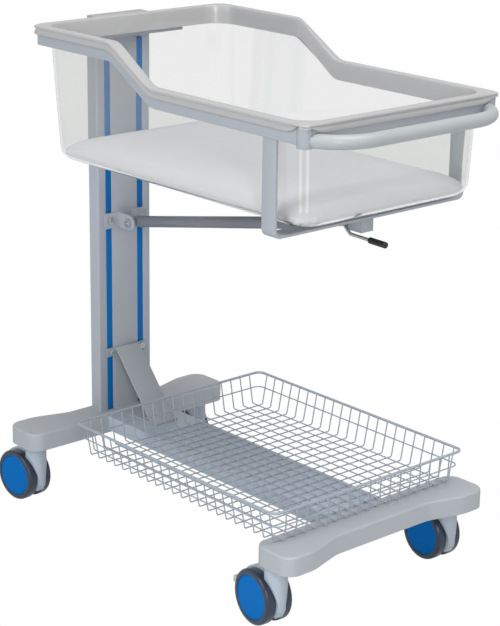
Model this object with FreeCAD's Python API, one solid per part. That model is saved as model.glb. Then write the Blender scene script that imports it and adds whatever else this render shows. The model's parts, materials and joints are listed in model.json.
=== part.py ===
"""Hospital bassinet: a clear tub in a tilting frame, hinged on a single column over a wheeled base.

Millimetres. +Z is up, +X points from the column (head end) to the push handle (foot end),
-Y is the near long side. The origin is on the floor, in the middle of the whole footprint.
"""
import FreeCAD, Part
import math
import os
from FreeCAD import Vector

os.makedirs("parts", exist_ok=True)

# ---- Base beams and rail -------------------------------------------------------------------
BEAM_HALF_LENGTH = 242
BEAM_TOP_Z = 159
BEAM_HEIGHT = 35
BEAM_INNER_X = 317          # inner long edge of each beam, from mid-base
BEAM_PAD_WIDTH = 91         # width at the two ends, over the castors
BEAM_WAIST = 21             # how much narrower the middle of a beam is
BEAM_PAD_LENGTH = 60        # length of each wide end
BEAM_WAIST_RUN = 70         # length over which an end narrows to the waist
BEAM_CORNER_RADIUS = 27
BEAM_WAIST_RADIUS = 80
BEAM_EDGE_ROUND = 4
BEAM_WALL = 5
STEM_BOSS_RADIUS = 16
RAIL_WIDTH = 127
RAIL_THICKNESS = 29.5
RAIL_WALL = 3
RAIL_CHAMBERS = 3
RAIL_PORT_RADIUS = 7        # metal round each screw port, on the webs between the chambers
NEAR = 0.01                 # for picking edges by their length or height

# ---- Column --------------------------------------------------------------------------------
COLUMN_WIDTH = 127
COLUMN_DEPTH = 29.5
COLUMN_FRONT_X = -343
COLUMN_TOP_Z = 941
COLUMN_WALL = 3
COLUMN_CORNER_RADIUS = 3
COLUMN_CAP_THICKNESS = 3
COLUMN_SCREW_INSET = 8      # from the column's sides to its outer frame screws
SLOT_CENTRE_Y = 38          # the two T-slots, each side of the middle
SLOT_OPENING = 14
SLOT_LIP = 3
SLOT_UNDERCUT_WIDTH = 21
SLOT_UNDERCUT_DEPTH = 5
STRIP_PLAY = 0.2
STRIP_THICKNESS = 2.6

# ---- Screws --------------------------------------------------------------------------------
SLOT_SCREW_RADIUS = 3
SLOT_SCREW_HEAD_RADIUS = 6
SLOT_SCREW_HEAD_HEIGHT = 3.5
SLOT_NUT_WIDTH = 18
SLOT_NUT_LENGTH = 12
SLOT_NUT_THICKNESS = 4
STRIP_END_GAP = 1.5
FRAME_SCREW_RADIUS = 4
FRAME_SCREW_HEAD_RADIUS = 6.5
FRAME_SCREW_HEAD_HEIGHT = 5
FRAME_SCREW_GRIP = 14
HEX_SOCKET_RADIUS = 2
HEX_SOCKET_DEPTH = 2
PIN_SOCKET_RADIUS = 3

# ---- Gusset --------------------------------------------------------------------------------
GUSSET_WIDTH = 56
GUSSET_SHEET = 4
GUSSET_TOP_Z = 289
GUSSET_TOE_X = -213
GUSSET_SLOPE_FOOT_X = -224
GUSSET_EAR_SPAN = 94
GUSSET_EAR_HEIGHT = 17
GUSSET_EAR_DROP = 1         # from the sheet's top bend to the ears' top
GUSSET_EAR_SHEET = 3

# ---- Strut bracket and gas strut -----------------------------------------------------------
STRUT_LOW_X = -305
STRUT_LOW_Z = 548
STRUT_HIGH_X = 300
STRUT_HIGH_Z = 670
BRACKET_SHEET = 5
BRACKET_HEIGHT = 30
BRACKET_FLANGE_OUTER_Y = 50
BRACKET_CHEEK_OUTER_Y = 19
STRUT_PIN_RADIUS = 4
STRUT_PIN_HEAD_RADIUS = 8
STRUT_PIN_HEAD_HEIGHT = 4
STRUT_EYE_RADIUS = 10
STRUT_EYE_WIDTH = 20
STRUT_TUBE_RADIUS = 11
STRUT_TUBE_WALL = 1.5
STRUT_TUBE_START = 14
STRUT_TUBE_END = 455
STRUT_GLAND_LENGTH = 8
STRUT_SHANK_RADIUS = 6      # between the lower eye and the tube
STRUT_ROD_RADIUS = 5
STRUT_NECK_RADIUS = 4       # the rod's end, at the cross barrel
STRUT_NECK_LENGTH = 20
STRUT_PISTON_FROM = 320
STRUT_PISTON_LENGTH = 14
STRUT_ROD_EYE_RADIUS = 4.8
STRUT_ROD_EYE_WIDTH = 14
RUNNING_CLEARANCE = 0.05

# ---- Tilt hinge ----------------------------------------------------------------------------
HINGE_X = -331
HINGE_Z = 920
HINGE_PIN_RADIUS = 4
KNUCKLE_RADIUS = 8
KNUCKLE_LENGTH = 22
KNUCKLE_GAP = 0.4
KNUCKLE_COUNT = 5
LEAF_THICKNESS = 3
LEAF_HALF_WIDTH = 57
LEAF_HALF_HEIGHT = 21
HINGE_SCREW_OFFSET_Z = 14.5
HINGE_PLATE_THICKNESS = 4
HINGE_PLATE_HALF_WIDTH = 124
HINGE_PLATE_HEIGHT = 25
HINGE_PLATE_GAP = 1         # between the plate and the tub's lip above it
HINGE_PIN_HEAD_RADIUS = 6
HINGE_PIN_HEAD_HEIGHT = 3

# ---- Basin frame ---------------------------------------------------------------------------
RIM_LOW_Z = 885             # top of the tub's lip along the sides and foot
RIM_HIGH_Z = 949            # top of the lip round the head
RIM_HIGH_END_X = -92        # where the high part starts to fall
RIM_LOW_START_X = 18        # where the fall ends
RIM_BEND_RADIUS = 45
BAND_HEAD_X = -318
BAND_FOOT_X = 402
BAND_HALF_WIDTH = 221
BAND_THICKNESS = 5
BAND_HEAD_RADIUS = 16
BAND_FOOT_RADIUS = 12
BAND_DEPTH = 36             # from the top of the lip to the band's lower edge
POST_X = 391
POST_Y = 211
POST_RADIUS = 12.5
POST_TOP_Z = 884
HANDLE_RADIUS = 12
HANDLE_WALL = 2
HANDLE_X = 452
HANDLE_HALF_WIDTH = 208
HANDLE_BEND_RADIUS = 90
HANDLE_LEAD = 1             # straight tube before each bend
STRAP_X = 304
STRAP_WIDTH = 33
STRAP_THICKNESS = 5
STRAP_BOTTOM_Z = 686
STRAP_BEND_RADIUS = 14

# ---- Release head, lever and grip ----------------------------------------------------------
BLOCK_HALF_WIDTH = 14
BLOCK_HEIGHT = 26
BLOCK_BACK_X = 284
BLOCK_FRONT_X = 324
BLOCK_WALL = 3
LEVER_PIVOT_X = 290
LEVER_PIVOT_Z = 670
LEVER_RADIUS = 3
LEVER_INNER_Y = -7.5
LEVER_OUTER_Y = -22
LEVER_ELBOW = (306, -22, 656.7)
LEVER_END = (363, -22, 655.5)
LEVER_SHAFT_BEND = 7
LEVER_ELBOW_BEND = 8
GRIP_RADIUS = 5.5
GRIP_LENGTH = 41
GRIP_OVERLAP = 12
GRIP_END_ROUND = 3

# ---- Tub and mattress ----------------------------------------------------------------------
LIP_FOOT_OVERHANG = 3       # lip beyond the band it hangs on
LIP_SIDE_OVERHANG = 4
LIP_HEAD_OVERHANG = 3
LIP_HEIGHT = 17
LIP_SHEET = 3.5
LIP_SKIRT_PLAY = 0.5
LIP_FOOT_RADIUS = 32        # cut back round the posts
LIP_POST_PLAY = 0.5
TUB_WALL = 3.5
TUB_BOTTOM_Z = 705
TUB_MOULD_TOP_Z = 960       # height at which the mould's top outline is given
TUB_BOTTOM_HEAD_X = -297
TUB_BOTTOM_FOOT_X = 388
TUB_BOTTOM_HALF_WIDTH = 204
TUB_TOP_HEAD_X = -312.5
TUB_TOP_FOOT_X = 396
TUB_TOP_HALF_WIDTH = 214.5
TUB_CORNER_RADIUS = 50
TUB_FLOOR_RADIUS = 25
MATTRESS_PLAY = 10          # between the mattress and the tub's walls, at the floor
MATTRESS_THICKNESS = 32
MATTRESS_LOWER_ROUND = 12
MATTRESS_UPPER_ROUND = 13

# ---- Wire basket ---------------------------------------------------------------------------
BASKET_FLOOR_HEAD_X = -183
BASKET_FLOOR_FOOT_X = 351
BASKET_FLOOR_HALF_WIDTH = 214
BASKET_RIM_HEAD_X = -197.5
BASKET_RIM_FOOT_X = 357
BASKET_RIM_HALF_WIDTH = 229
BASKET_RIM_Z = 219.5
BASKET_MID_Z = 192.5
BASKET_RIM_WIRE = 2.5       # radius
BASKET_WIRE = 1.25          # radius
BASKET_WELD = 0.3           # how far crossing wires sink into each other
BASKET_BEND = 4
BASKET_RIM_BEND = 14
BASKET_END_RUN_IN = 12      # from the end walls' foot to the first wire across
BASKET_SIDE_RUN_IN = 15.6   # from the side walls' foot to the first wire along
BASKET_CROSS_PITCH = 24.3
BASKET_LONG_PITCH = 24.8

# ---- Castors -------------------------------------------------------------------------------
STEM_FOOT_X = 342
STEM_HEAD_X = -368
STEM_FOOT_Y = 209
STEM_HEAD_Y = 203
STEM_RADIUS = 5.5
STEM_DEPTH = 34
STEM_FLANGE_RADIUS = 17
STEM_FLANGE_HEIGHT = 5
SWIVEL_GAP = 0.5
CASTOR_TRAIL = 36
WHEEL_RADIUS = 50
CASTOR_WIDTH = 54
YOKE_WIDTH = 16
WHEEL_SIDE_GAP = 0.5
DISC_RADIUS = 40
DISC_WALL = 3
DISC_HUB_RADIUS = 11
DISC_DOME = 0.8
TREAD_CHAMFER = 5
TREAD_INNER_CHAMFER = 2
DISC_FLAT_RADIUS = 30       # the disc's outer face is flat inside this radius
WHEEL_TOP_GAP = 1           # from the tread to the yoke's wide part
AXLE_RADIUS = 4
STEM_LOW_Z = 92
NECK_RADIUS = 20.5
NECK_ROUND_Z = 100          # the neck is round above, and tapers to the slab below
NECK_TAPER_Z = 36           # where the taper is half as wide as the slab, inside it
YOKE_NOSE_X = 18.5
YOKE_FENDER = 3             # how far the yoke stands out over the tyres
YOKE_BOTTOM_Z = 24
YOKE_CORNER_RADIUS = 20
BRAKE_PIVOT_X = -72         # from the stem's axis
BRAKE_PIVOT_Z = 58
BRAKE_PIN_RADIUS = 2.5
BRAKE_HUB_RADIUS = 6
BRAKE_HUB_WIDTH = 9
BRAKE_SIDE_GAP = 0.4        # each side of the hub, in the yoke's slot
BRAKE_SLOT_RADIUS = 8
BRAKE_ARM_THICKNESS = 5
BRAKE_TREAD_WIDTH = 26
BRAKE_TREAD_HEIGHT = 12     # down from the arm's upper side
BRAKE_TREAD_ROUND = 1.6
BRAKE_TREAD_START = 21      # from the pivot to where the pedal widens, clear of the yoke when pressed
BRAKE_TREAD_END = 36
SWIVEL_ANGLES = {"near_foot": -6, "near_head": 4.5, "far_foot": -4, "far_head": 0}

# ---- Values that follow from the ones above --------------------------------------------------
BEAM_BOTTOM_Z = BEAM_TOP_Z - BEAM_HEIGHT
COLUMN_BACK_X = COLUMN_FRONT_X - COLUMN_DEPTH
BAND_LOW_Z = RIM_LOW_Z - BAND_DEPTH
HANDLE_Z = RIM_LOW_Z - LIP_HEIGHT - HANDLE_RADIUS
BLOCK_TOP_Z = STRAP_BOTTOM_Z
HINGE_PLATE_TOP_Z = RIM_HIGH_Z - LIP_HEIGHT - HINGE_PLATE_GAP
HINGE_PLATE_BOTTOM_Z = HINGE_PLATE_TOP_Z - HINGE_PLATE_HEIGHT
FAR = 1200                  # larger than the whole bassinet, for cutting tools
STEMS = {
    "near_foot": (STEM_FOOT_X, -STEM_FOOT_Y),
    "far_foot": (STEM_FOOT_X, STEM_FOOT_Y),
    "near_head": (STEM_HEAD_X, -STEM_HEAD_Y),
    "far_head": (STEM_HEAD_X, STEM_HEAD_Y),
}
near_head_turn = math.radians(abs(SWIVEL_ANGLES["near_head"]))
yoke_reach = CASTOR_TRAIL + WHEEL_RADIUS + YOKE_FENDER
CASTOR_BACK_X = (STEM_HEAD_X - yoke_reach * math.cos(near_head_turn)
                 - YOKE_WIDTH / 2 * math.sin(near_head_turn))
HANDLE_FRONT_X = HANDLE_X + HANDLE_RADIUS
ORIGIN_X = (CASTOR_BACK_X + HANDLE_FRONT_X) / 2     # middle of the footprint's length


def save(name, *solids):
    """Move the solids to the bassinet's own origin and write them as one node."""
    placed = [solid.translated(Vector(-ORIGIN_X, 0, 0)) for solid in solids]
    shape = placed[0] if len(placed) == 1 else Part.makeCompound(placed)
    if not shape.isValid():
        print("not valid:", name)
    shape.exportStep("parts/" + name + ".step")


def block(x0, x1, y0, y1, z0, z1):
    return Part.makeBox(x1 - x0, y1 - y0, z1 - z0, Vector(x0, y0, z0))


def bar(start, end, radius):
    """A round bar from one point to another."""
    run = Vector(end) - Vector(start)
    return Part.makeCylinder(radius, run.Length, Vector(start), run)


def joined(*solids):
    return solids[0].multiFuse(list(solids[1:])).removeSplitter()


def mirrored(shape):
    """The same piece on the far side."""
    return shape.mirror(Vector(0, 0, 0), Vector(0, 1, 0))


def rounded_path(points, radii, closed=False):
    """Straight runs through the points, with an arc of its own radius at each corner."""
    points = [Vector(p) for p in points]
    count = len(points)
    turns = []
    for i, corner in enumerate(points):
        at_end = not closed and i in (0, count - 1)
        if at_end or radii[i] == 0:
            turns.append((corner, None, corner))
            continue
        back = (points[i - 1] - corner).normalize()
        ahead = (points[(i + 1) % count] - corner).normalize()
        half_angle = back.getAngle(ahead) / 2
        reach = radii[i] / math.tan(half_angle)
        inward = (back + ahead).normalize()
        middle = corner + inward * (radii[i] / math.sin(half_angle) - radii[i])
        turns.append((corner + back * reach, middle, corner + ahead * reach))
    edges = []
    for i in range(count):
        start, middle, end = turns[i]
        if middle is not None:
            edges.append(Part.Arc(start, middle, end).toShape())
        if i == count - 1 and not closed:
            break
        following = turns[(i + 1) % count][0]
        if end.distanceToPoint(following) > 0.001:
            edges.append(Part.LineSegment(end, following).toShape())
    return Part.Wire(edges)


def wire_rod(points, radii, radius, closed=False):
    """A round rod or wire bent along a path."""
    path = rounded_path(points, radii, closed)
    first = path.Edges[0]
    start = first.valueAt(first.FirstParameter)
    along = first.tangentAt(first.FirstParameter)
    ring = Part.Wire([Part.makeCircle(radius, start, along)])
    solid = path.makePipeShell([ring], True, False)
    if solid.Volume < 0:
        solid.reverse()
    return solid


def outline(x0, x1, half_width, head_radius, foot_radius, z):
    """A rectangle seen from above, with its own corner radius at the head and at the foot."""
    points = [(x0, -half_width, z), (x1, -half_width, z), (x1, half_width, z), (x0, half_width, z)]
    return rounded_path(points, [head_radius, foot_radius, foot_radius, head_radius], closed=True)


def prism(wire, height):
    return Part.Face(wire).extrude(Vector(0, 0, height))


# ---- Base: two cast beams joined by a rail ---------------------------------------------------
def beam_outline(inset, z):
    """Plan of the foot beam: wide ends over the castors, and a waist on the outer side."""
    inner = BEAM_INNER_X + inset
    outer = BEAM_INNER_X + BEAM_PAD_WIDTH - inset
    waist = outer - BEAM_WAIST
    end = BEAM_HALF_LENGTH - inset
    pad = BEAM_HALF_LENGTH - BEAM_PAD_LENGTH
    middle = pad - BEAM_WAIST_RUN
    corner = BEAM_CORNER_RADIUS - inset
    points = [(inner, -end, z), (outer, -end, z), (outer, -pad, z), (waist, -middle, z),
              (waist, middle, z), (outer, pad, z), (outer, end, z), (inner, end, z)]
    radii = [corner, corner] + [BEAM_WAIST_RADIUS] * 4 + [corner, corner]
    return rounded_path(points, radii, closed=True)


def beam(stem_x, stem_y):
    """A cast beam, open underneath, with a boss for each castor stem."""
    outside = prism(beam_outline(0, BEAM_BOTTOM_Z), BEAM_HEIGHT)
    top_edges = [e for e in outside.Edges if e.BoundBox.ZMin > BEAM_TOP_Z - NEAR]
    outside = outside.makeFillet(BEAM_EDGE_ROUND, top_edges)
    hollow = prism(beam_outline(BEAM_WALL, BEAM_BOTTOM_Z), BEAM_HEIGHT - BEAM_WALL)
    shell = outside.cut(hollow)
    for side in (-1, 1):
        foot = Vector(stem_x, side * stem_y, BEAM_BOTTOM_Z)
        shell = shell.fuse(Part.makeCylinder(STEM_BOSS_RADIUS, BEAM_HEIGHT - BEAM_WALL / 2, foot))
        shell = shell.cut(Part.makeCylinder(STEM_RADIUS, STEM_DEPTH - STEM_FLANGE_HEIGHT, foot))
    return shell.removeSplitter()


foot_beam = beam(STEM_FOOT_X, STEM_FOOT_Y)
head_beam = beam(-STEM_HEAD_X, STEM_HEAD_Y).mirror(Vector(0, 0, 0), Vector(1, 0, 0))

chamber = (RAIL_WIDTH - (RAIL_CHAMBERS + 1) * RAIL_WALL) / RAIL_CHAMBERS
rail_port_y = (chamber + RAIL_WALL) / 2     # the two webs beside the middle chamber
rail_middle_z = BEAM_TOP_Z - RAIL_THICKNESS / 2
frame_screws = []
for side in (-1, 1):
    for y in (-rail_port_y, rail_port_y):
        z = rail_middle_z
        wall_x = side * (BEAM_INNER_X + BEAM_WALL)
        head = bar((wall_x, y, z), (wall_x + side * FRAME_SCREW_HEAD_HEIGHT, y, z), FRAME_SCREW_HEAD_RADIUS)
        shank = bar((wall_x, y, z), (wall_x - side * FRAME_SCREW_GRIP, y, z), FRAME_SCREW_RADIUS)
        frame_screws.append(head.fuse(shank))
column_middle_x = COLUMN_FRONT_X - COLUMN_DEPTH / 2
plate_under_z = BEAM_TOP_Z - BEAM_WALL
column_screw_y = COLUMN_WIDTH / 2 - COLUMN_SCREW_INSET
for y in (-column_screw_y, 0, column_screw_y):
    head = bar((column_middle_x, y, plate_under_z - FRAME_SCREW_HEAD_HEIGHT),
               (column_middle_x, y, plate_under_z), FRAME_SCREW_HEAD_RADIUS)
    shank = bar((column_middle_x, y, plate_under_z),
                (column_middle_x, y, plate_under_z + FRAME_SCREW_GRIP), FRAME_SCREW_RADIUS)
    frame_screws.append(head.fuse(shank))

rail_outside = block(-BEAM_INNER_X, BEAM_INNER_X, -RAIL_WIDTH / 2, RAIL_WIDTH / 2,
                     BEAM_TOP_Z - RAIL_THICKNESS, BEAM_TOP_Z)
rail = rail_outside
for i in range(RAIL_CHAMBERS):
    y = -RAIL_WIDTH / 2 + RAIL_WALL + i * (chamber + RAIL_WALL)
    rail = rail.cut(block(-BEAM_INNER_X, BEAM_INNER_X, y, y + chamber,
                          BEAM_TOP_Z - RAIL_THICKNESS + RAIL_WALL, BEAM_TOP_Z - RAIL_WALL))
for y in (-rail_port_y, rail_port_y):
    ends = (-BEAM_INNER_X, y, rail_middle_z), (BEAM_INNER_X, y, rail_middle_z)
    rail = rail.fuse(bar(*ends, RAIL_PORT_RADIUS)).cut(bar(*ends, FRAME_SCREW_RADIUS))

column = block(COLUMN_BACK_X, COLUMN_FRONT_X, -COLUMN_WIDTH / 2, COLUMN_WIDTH / 2,
               BEAM_TOP_Z, COLUMN_TOP_Z)
long_edges = [e for e in column.Edges if e.Length > COLUMN_TOP_Z - BEAM_TOP_Z - NEAR]
column = column.makeFillet(COLUMN_CORNER_RADIUS, long_edges)


def column_void(x0, x1, y0, y1):
    return block(x0, x1, y0, y1, BEAM_TOP_Z, COLUMN_TOP_Z)


undercut_front_x = COLUMN_FRONT_X - SLOT_LIP
undercut_back_x = undercut_front_x - SLOT_UNDERCUT_DEPTH
cavity_front_x = undercut_back_x - COLUMN_WALL
for y in (-SLOT_CENTRE_Y, SLOT_CENTRE_Y):
    column = column.cut(column_void(undercut_front_x, COLUMN_FRONT_X,
                                    y - SLOT_OPENING / 2, y + SLOT_OPENING / 2))
    column = column.cut(column_void(undercut_back_x, undercut_front_x,
                                    y - SLOT_UNDERCUT_WIDTH / 2, y + SLOT_UNDERCUT_WIDTH / 2))
middle_half = SLOT_CENTRE_Y - SLOT_UNDERCUT_WIDTH / 2 - COLUMN_WALL
column = column.cut(column_void(COLUMN_BACK_X + COLUMN_WALL, COLUMN_FRONT_X - COLUMN_WALL,
                                -middle_half, middle_half))
for side in (-1, 1):
    inner = side * (middle_half + COLUMN_WALL)
    outer = side * (COLUMN_WIDTH / 2 - COLUMN_WALL)
    column = column.cut(column_void(COLUMN_BACK_X + COLUMN_WALL, cavity_front_x,
                                    min(inner, outer), max(inner, outer)))
# Screw ports: the column's own metal where the frame screws go up into it.
for screw in frame_screws[4:]:
    box = screw.BoundBox
    port = block(COLUMN_BACK_X + COLUMN_WALL, COLUMN_FRONT_X - SLOT_LIP - SLOT_UNDERCUT_DEPTH,
                 box.Center.y - FRAME_SCREW_HEAD_RADIUS, box.Center.y + FRAME_SCREW_HEAD_RADIUS,
                 BEAM_TOP_Z, box.ZMax + COLUMN_WALL)
    column = column.fuse(port.common(column_void(COLUMN_BACK_X, COLUMN_FRONT_X,
                                                 -COLUMN_WIDTH / 2 + COLUMN_WALL / 2,
                                                 COLUMN_WIDTH / 2 - COLUMN_WALL / 2)))
for screw in frame_screws:
    column = column.cut(screw)
    rail = rail.cut(screw)
    head_beam = head_beam.cut(screw)
    foot_beam = foot_beam.cut(screw)
cap = block(COLUMN_BACK_X, COLUMN_FRONT_X, -COLUMN_WIDTH / 2, COLUMN_WIDTH / 2,
            COLUMN_TOP_Z, COLUMN_TOP_Z + COLUMN_CAP_THICKNESS)
cap = cap.makeFillet(COLUMN_CORNER_RADIUS - NEAR,
                     [e for e in cap.Edges if abs(e.Length - COLUMN_CAP_THICKNESS) < NEAR])

save("head_beam", head_beam)
save("foot_beam", foot_beam)
save("base_rail", rail.removeSplitter())
save("frame_screws", *frame_screws)
save("column", column.removeSplitter())
save("column_cap", cap)


# ---- Gusset between column and rail -----------------------------------------------------------
def gusset_section(y):
    """Side view of the bent sheet: up the column, down the slope, back along the rail."""
    top_x = COLUMN_FRONT_X + 2 * GUSSET_SHEET
    slope = Vector(GUSSET_SLOPE_FOOT_X - top_x, 0, BEAM_TOP_Z + GUSSET_SHEET - GUSSET_TOP_Z).normalize()
    normal = Vector(slope.z, 0, -slope.x)
    inner_start = Vector(top_x, y, GUSSET_TOP_Z) + normal * GUSSET_SHEET
    leg_x = COLUMN_FRONT_X + GUSSET_SHEET
    floor_z = BEAM_TOP_Z + GUSSET_SHEET
    along_to_leg = (leg_x - inner_start.x) / slope.x
    along_to_floor = (floor_z - inner_start.z) / slope.z
    outside = [(COLUMN_FRONT_X, y, BEAM_TOP_Z), (GUSSET_TOE_X, y, BEAM_TOP_Z),
               (GUSSET_TOE_X, y, floor_z), (GUSSET_SLOPE_FOOT_X, y, floor_z),
               (top_x, y, GUSSET_TOP_Z), (COLUMN_FRONT_X, y, GUSSET_TOP_Z)]
    inside = [(leg_x, y, floor_z), tuple(inner_start + slope * along_to_floor),
              tuple(inner_start + slope * along_to_leg)]
    face = Part.Face(Part.makePolygon([Vector(p) for p in outside + outside[:1]]))
    return face.cut(Part.Face(Part.makePolygon([Vector(p) for p in inside + inside[:1]])))


gusset = gusset_section(-GUSSET_WIDTH / 2).Faces[0].extrude(Vector(0, GUSSET_WIDTH, 0))
ear_top_z = GUSSET_TOP_Z - GUSSET_EAR_DROP
ears = block(COLUMN_FRONT_X, COLUMN_FRONT_X + GUSSET_EAR_SHEET, -GUSSET_EAR_SPAN / 2,
             GUSSET_EAR_SPAN / 2, ear_top_z - GUSSET_EAR_HEIGHT, ear_top_z)
gusset = joined(gusset, ears)
gusset_screw_z = ear_top_z - GUSSET_EAR_HEIGHT / 2


# ---- Strut bracket: two bent cheeks clamped on the T-slots ------------------------------------
def bracket_near():
    flange_y = -BRACKET_FLANGE_OUTER_Y
    low_z = STRUT_LOW_Z - BRACKET_HEIGHT / 2
    high_z = STRUT_LOW_Z + BRACKET_HEIGHT / 2
    flange = block(COLUMN_FRONT_X, COLUMN_FRONT_X + BRACKET_SHEET, flange_y,
                   -BRACKET_CHEEK_OUTER_Y + BRACKET_SHEET, low_z, high_z)
    cheek = block(COLUMN_FRONT_X, STRUT_LOW_X, -BRACKET_CHEEK_OUTER_Y,
                  -BRACKET_CHEEK_OUTER_Y + BRACKET_SHEET, low_z, high_z)
    nose = bar((STRUT_LOW_X, -BRACKET_CHEEK_OUTER_Y, STRUT_LOW_Z),
               (STRUT_LOW_X, -BRACKET_CHEEK_OUTER_Y + BRACKET_SHEET, STRUT_LOW_Z), BRACKET_HEIGHT / 2)
    whole = joined(flange, cheek, nose)
    return whole.cut(bar((STRUT_LOW_X, -FAR, STRUT_LOW_Z), (STRUT_LOW_X, FAR, STRUT_LOW_Z),
                         STRUT_PIN_RADIUS))


cheek_outer = BRACKET_CHEEK_OUTER_Y
strut_pin = joined(
    bar((STRUT_LOW_X, -cheek_outer, STRUT_LOW_Z), (STRUT_LOW_X, cheek_outer, STRUT_LOW_Z),
        STRUT_PIN_RADIUS),
    bar((STRUT_LOW_X, -cheek_outer - STRUT_PIN_HEAD_HEIGHT, STRUT_LOW_Z),
        (STRUT_LOW_X, -cheek_outer, STRUT_LOW_Z), STRUT_PIN_HEAD_RADIUS),
    bar((STRUT_LOW_X, cheek_outer, STRUT_LOW_Z),
        (STRUT_LOW_X, cheek_outer + STRUT_PIN_HEAD_HEIGHT, STRUT_LOW_Z), STRUT_PIN_HEAD_RADIUS))
strut_pin = strut_pin.cut(bar((STRUT_LOW_X, -FAR, STRUT_LOW_Z),
                              (STRUT_LOW_X, -cheek_outer - STRUT_PIN_HEAD_HEIGHT + HEX_SOCKET_DEPTH,
                               STRUT_LOW_Z), PIN_SOCKET_RADIUS))


# ---- Tilt hinge on the column -----------------------------------------------------------------
def knuckle(index):
    """One barrel of the hinge, counted from the near side."""
    start_y = (index - KNUCKLE_COUNT / 2) * KNUCKLE_LENGTH
    return bar((HINGE_X, start_y + KNUCKLE_GAP / 2, HINGE_Z),
               (HINGE_X, start_y + KNUCKLE_LENGTH - KNUCKLE_GAP / 2, HINGE_Z), KNUCKLE_RADIUS)


def knuckle_web(index, x0, x1):
    """The metal that joins a barrel to its leaf."""
    start_y = (index - KNUCKLE_COUNT / 2) * KNUCKLE_LENGTH
    return block(x0, x1, start_y + KNUCKLE_GAP / 2, start_y + KNUCKLE_LENGTH - KNUCKLE_GAP / 2,
                 HINGE_Z - KNUCKLE_RADIUS, HINGE_Z + KNUCKLE_RADIUS)


def hinge_bore(radius):
    return bar((HINGE_X, -FAR, HINGE_Z), (HINGE_X, FAR, HINGE_Z), radius)


leaf = block(COLUMN_FRONT_X, COLUMN_FRONT_X + LEAF_THICKNESS, -LEAF_HALF_WIDTH, LEAF_HALF_WIDTH,
             HINGE_Z - LEAF_HALF_HEIGHT, HINGE_Z + LEAF_HALF_HEIGHT)
column_knuckles = range(0, KNUCKLE_COUNT, 2)
basin_knuckles = range(1, KNUCKLE_COUNT, 2)
column_hinge = joined(leaf, *[knuckle(i) for i in column_knuckles],
                      *[knuckle_web(i, COLUMN_FRONT_X, HINGE_X) for i in column_knuckles])
column_hinge = column_hinge.cut(hinge_bore(HINGE_PIN_RADIUS))
pin_half = KNUCKLE_COUNT * KNUCKLE_LENGTH / 2 - KNUCKLE_GAP / 2
hinge_pin = joined(
    bar((HINGE_X, -pin_half, HINGE_Z), (HINGE_X, pin_half, HINGE_Z), HINGE_PIN_RADIUS),
    bar((HINGE_X, -pin_half - HINGE_PIN_HEAD_HEIGHT, HINGE_Z), (HINGE_X, -pin_half, HINGE_Z),
        HINGE_PIN_HEAD_RADIUS),
    bar((HINGE_X, pin_half, HINGE_Z), (HINGE_X, pin_half + HINGE_PIN_HEAD_HEIGHT, HINGE_Z),
        HINGE_PIN_HEAD_RADIUS))

plate_front_x = BAND_HEAD_X
plate_back_x = BAND_HEAD_X - HINGE_PLATE_THICKNESS
hinge_plate = joined(
    block(plate_back_x, plate_front_x, -HINGE_PLATE_HALF_WIDTH, HINGE_PLATE_HALF_WIDTH,
          HINGE_PLATE_BOTTOM_Z, HINGE_PLATE_TOP_Z),
    *[knuckle(i) for i in basin_knuckles],
    *[knuckle_web(i, HINGE_X, plate_back_x) for i in basin_knuckles])
hinge_plate = hinge_plate.cut(hinge_bore(HINGE_PIN_RADIUS + RUNNING_CLEARANCE))


# ---- Screws and T-nuts in the column's slots, and the blue strips between them -----------------
def slot_screw(y, z, sheet):
    """A button-head screw through a sheet on the column's face, with its T-nut in the slot."""
    face_x = COLUMN_FRONT_X + sheet
    head = bar((face_x, y, z), (face_x + SLOT_SCREW_HEAD_HEIGHT, y, z), SLOT_SCREW_HEAD_RADIUS)
    shank = bar((undercut_front_x - SLOT_NUT_THICKNESS, y, z), (face_x, y, z), SLOT_SCREW_RADIUS)
    socket = bar((face_x + SLOT_SCREW_HEAD_HEIGHT - HEX_SOCKET_DEPTH, y, z),
                 (face_x + SLOT_SCREW_HEAD_HEIGHT, y, z), HEX_SOCKET_RADIUS)
    screw = head.fuse(shank).cut(socket)
    nut = block(undercut_front_x - SLOT_NUT_THICKNESS, undercut_front_x, y - SLOT_NUT_WIDTH / 2,
                y + SLOT_NUT_WIDTH / 2, z - SLOT_NUT_LENGTH / 2, z + SLOT_NUT_LENGTH / 2)
    return screw, nut.cut(screw)


slot_hardware = []
fixings = [(gusset_screw_z, GUSSET_EAR_SHEET), (STRUT_LOW_Z, BRACKET_SHEET),
           (HINGE_Z - HINGE_SCREW_OFFSET_Z, LEAF_THICKNESS),
           (HINGE_Z + HINGE_SCREW_OFFSET_Z, LEAF_THICKNESS)]
for z, sheet in fixings:
    for y in (-SLOT_CENTRE_Y, SLOT_CENTRE_Y):
        slot_hardware.extend(slot_screw(y, z, sheet))


def drilled(sheet_metal):
    """The sheet with a clearance-free hole for every slot screw that passes it."""
    for screw in slot_hardware[0::2]:
        sheet_metal = sheet_metal.cut(screw)
    return sheet_metal


bracket = bracket_near()
save("gusset", drilled(gusset))
save("strut_bracket_near", drilled(bracket))
save("strut_bracket_far", drilled(mirrored(bracket)))
save("strut_pin", strut_pin)
save("column_hinge", drilled(column_hinge))
save("hinge_pin", hinge_pin)
save("slot_screws", *slot_hardware)

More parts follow.
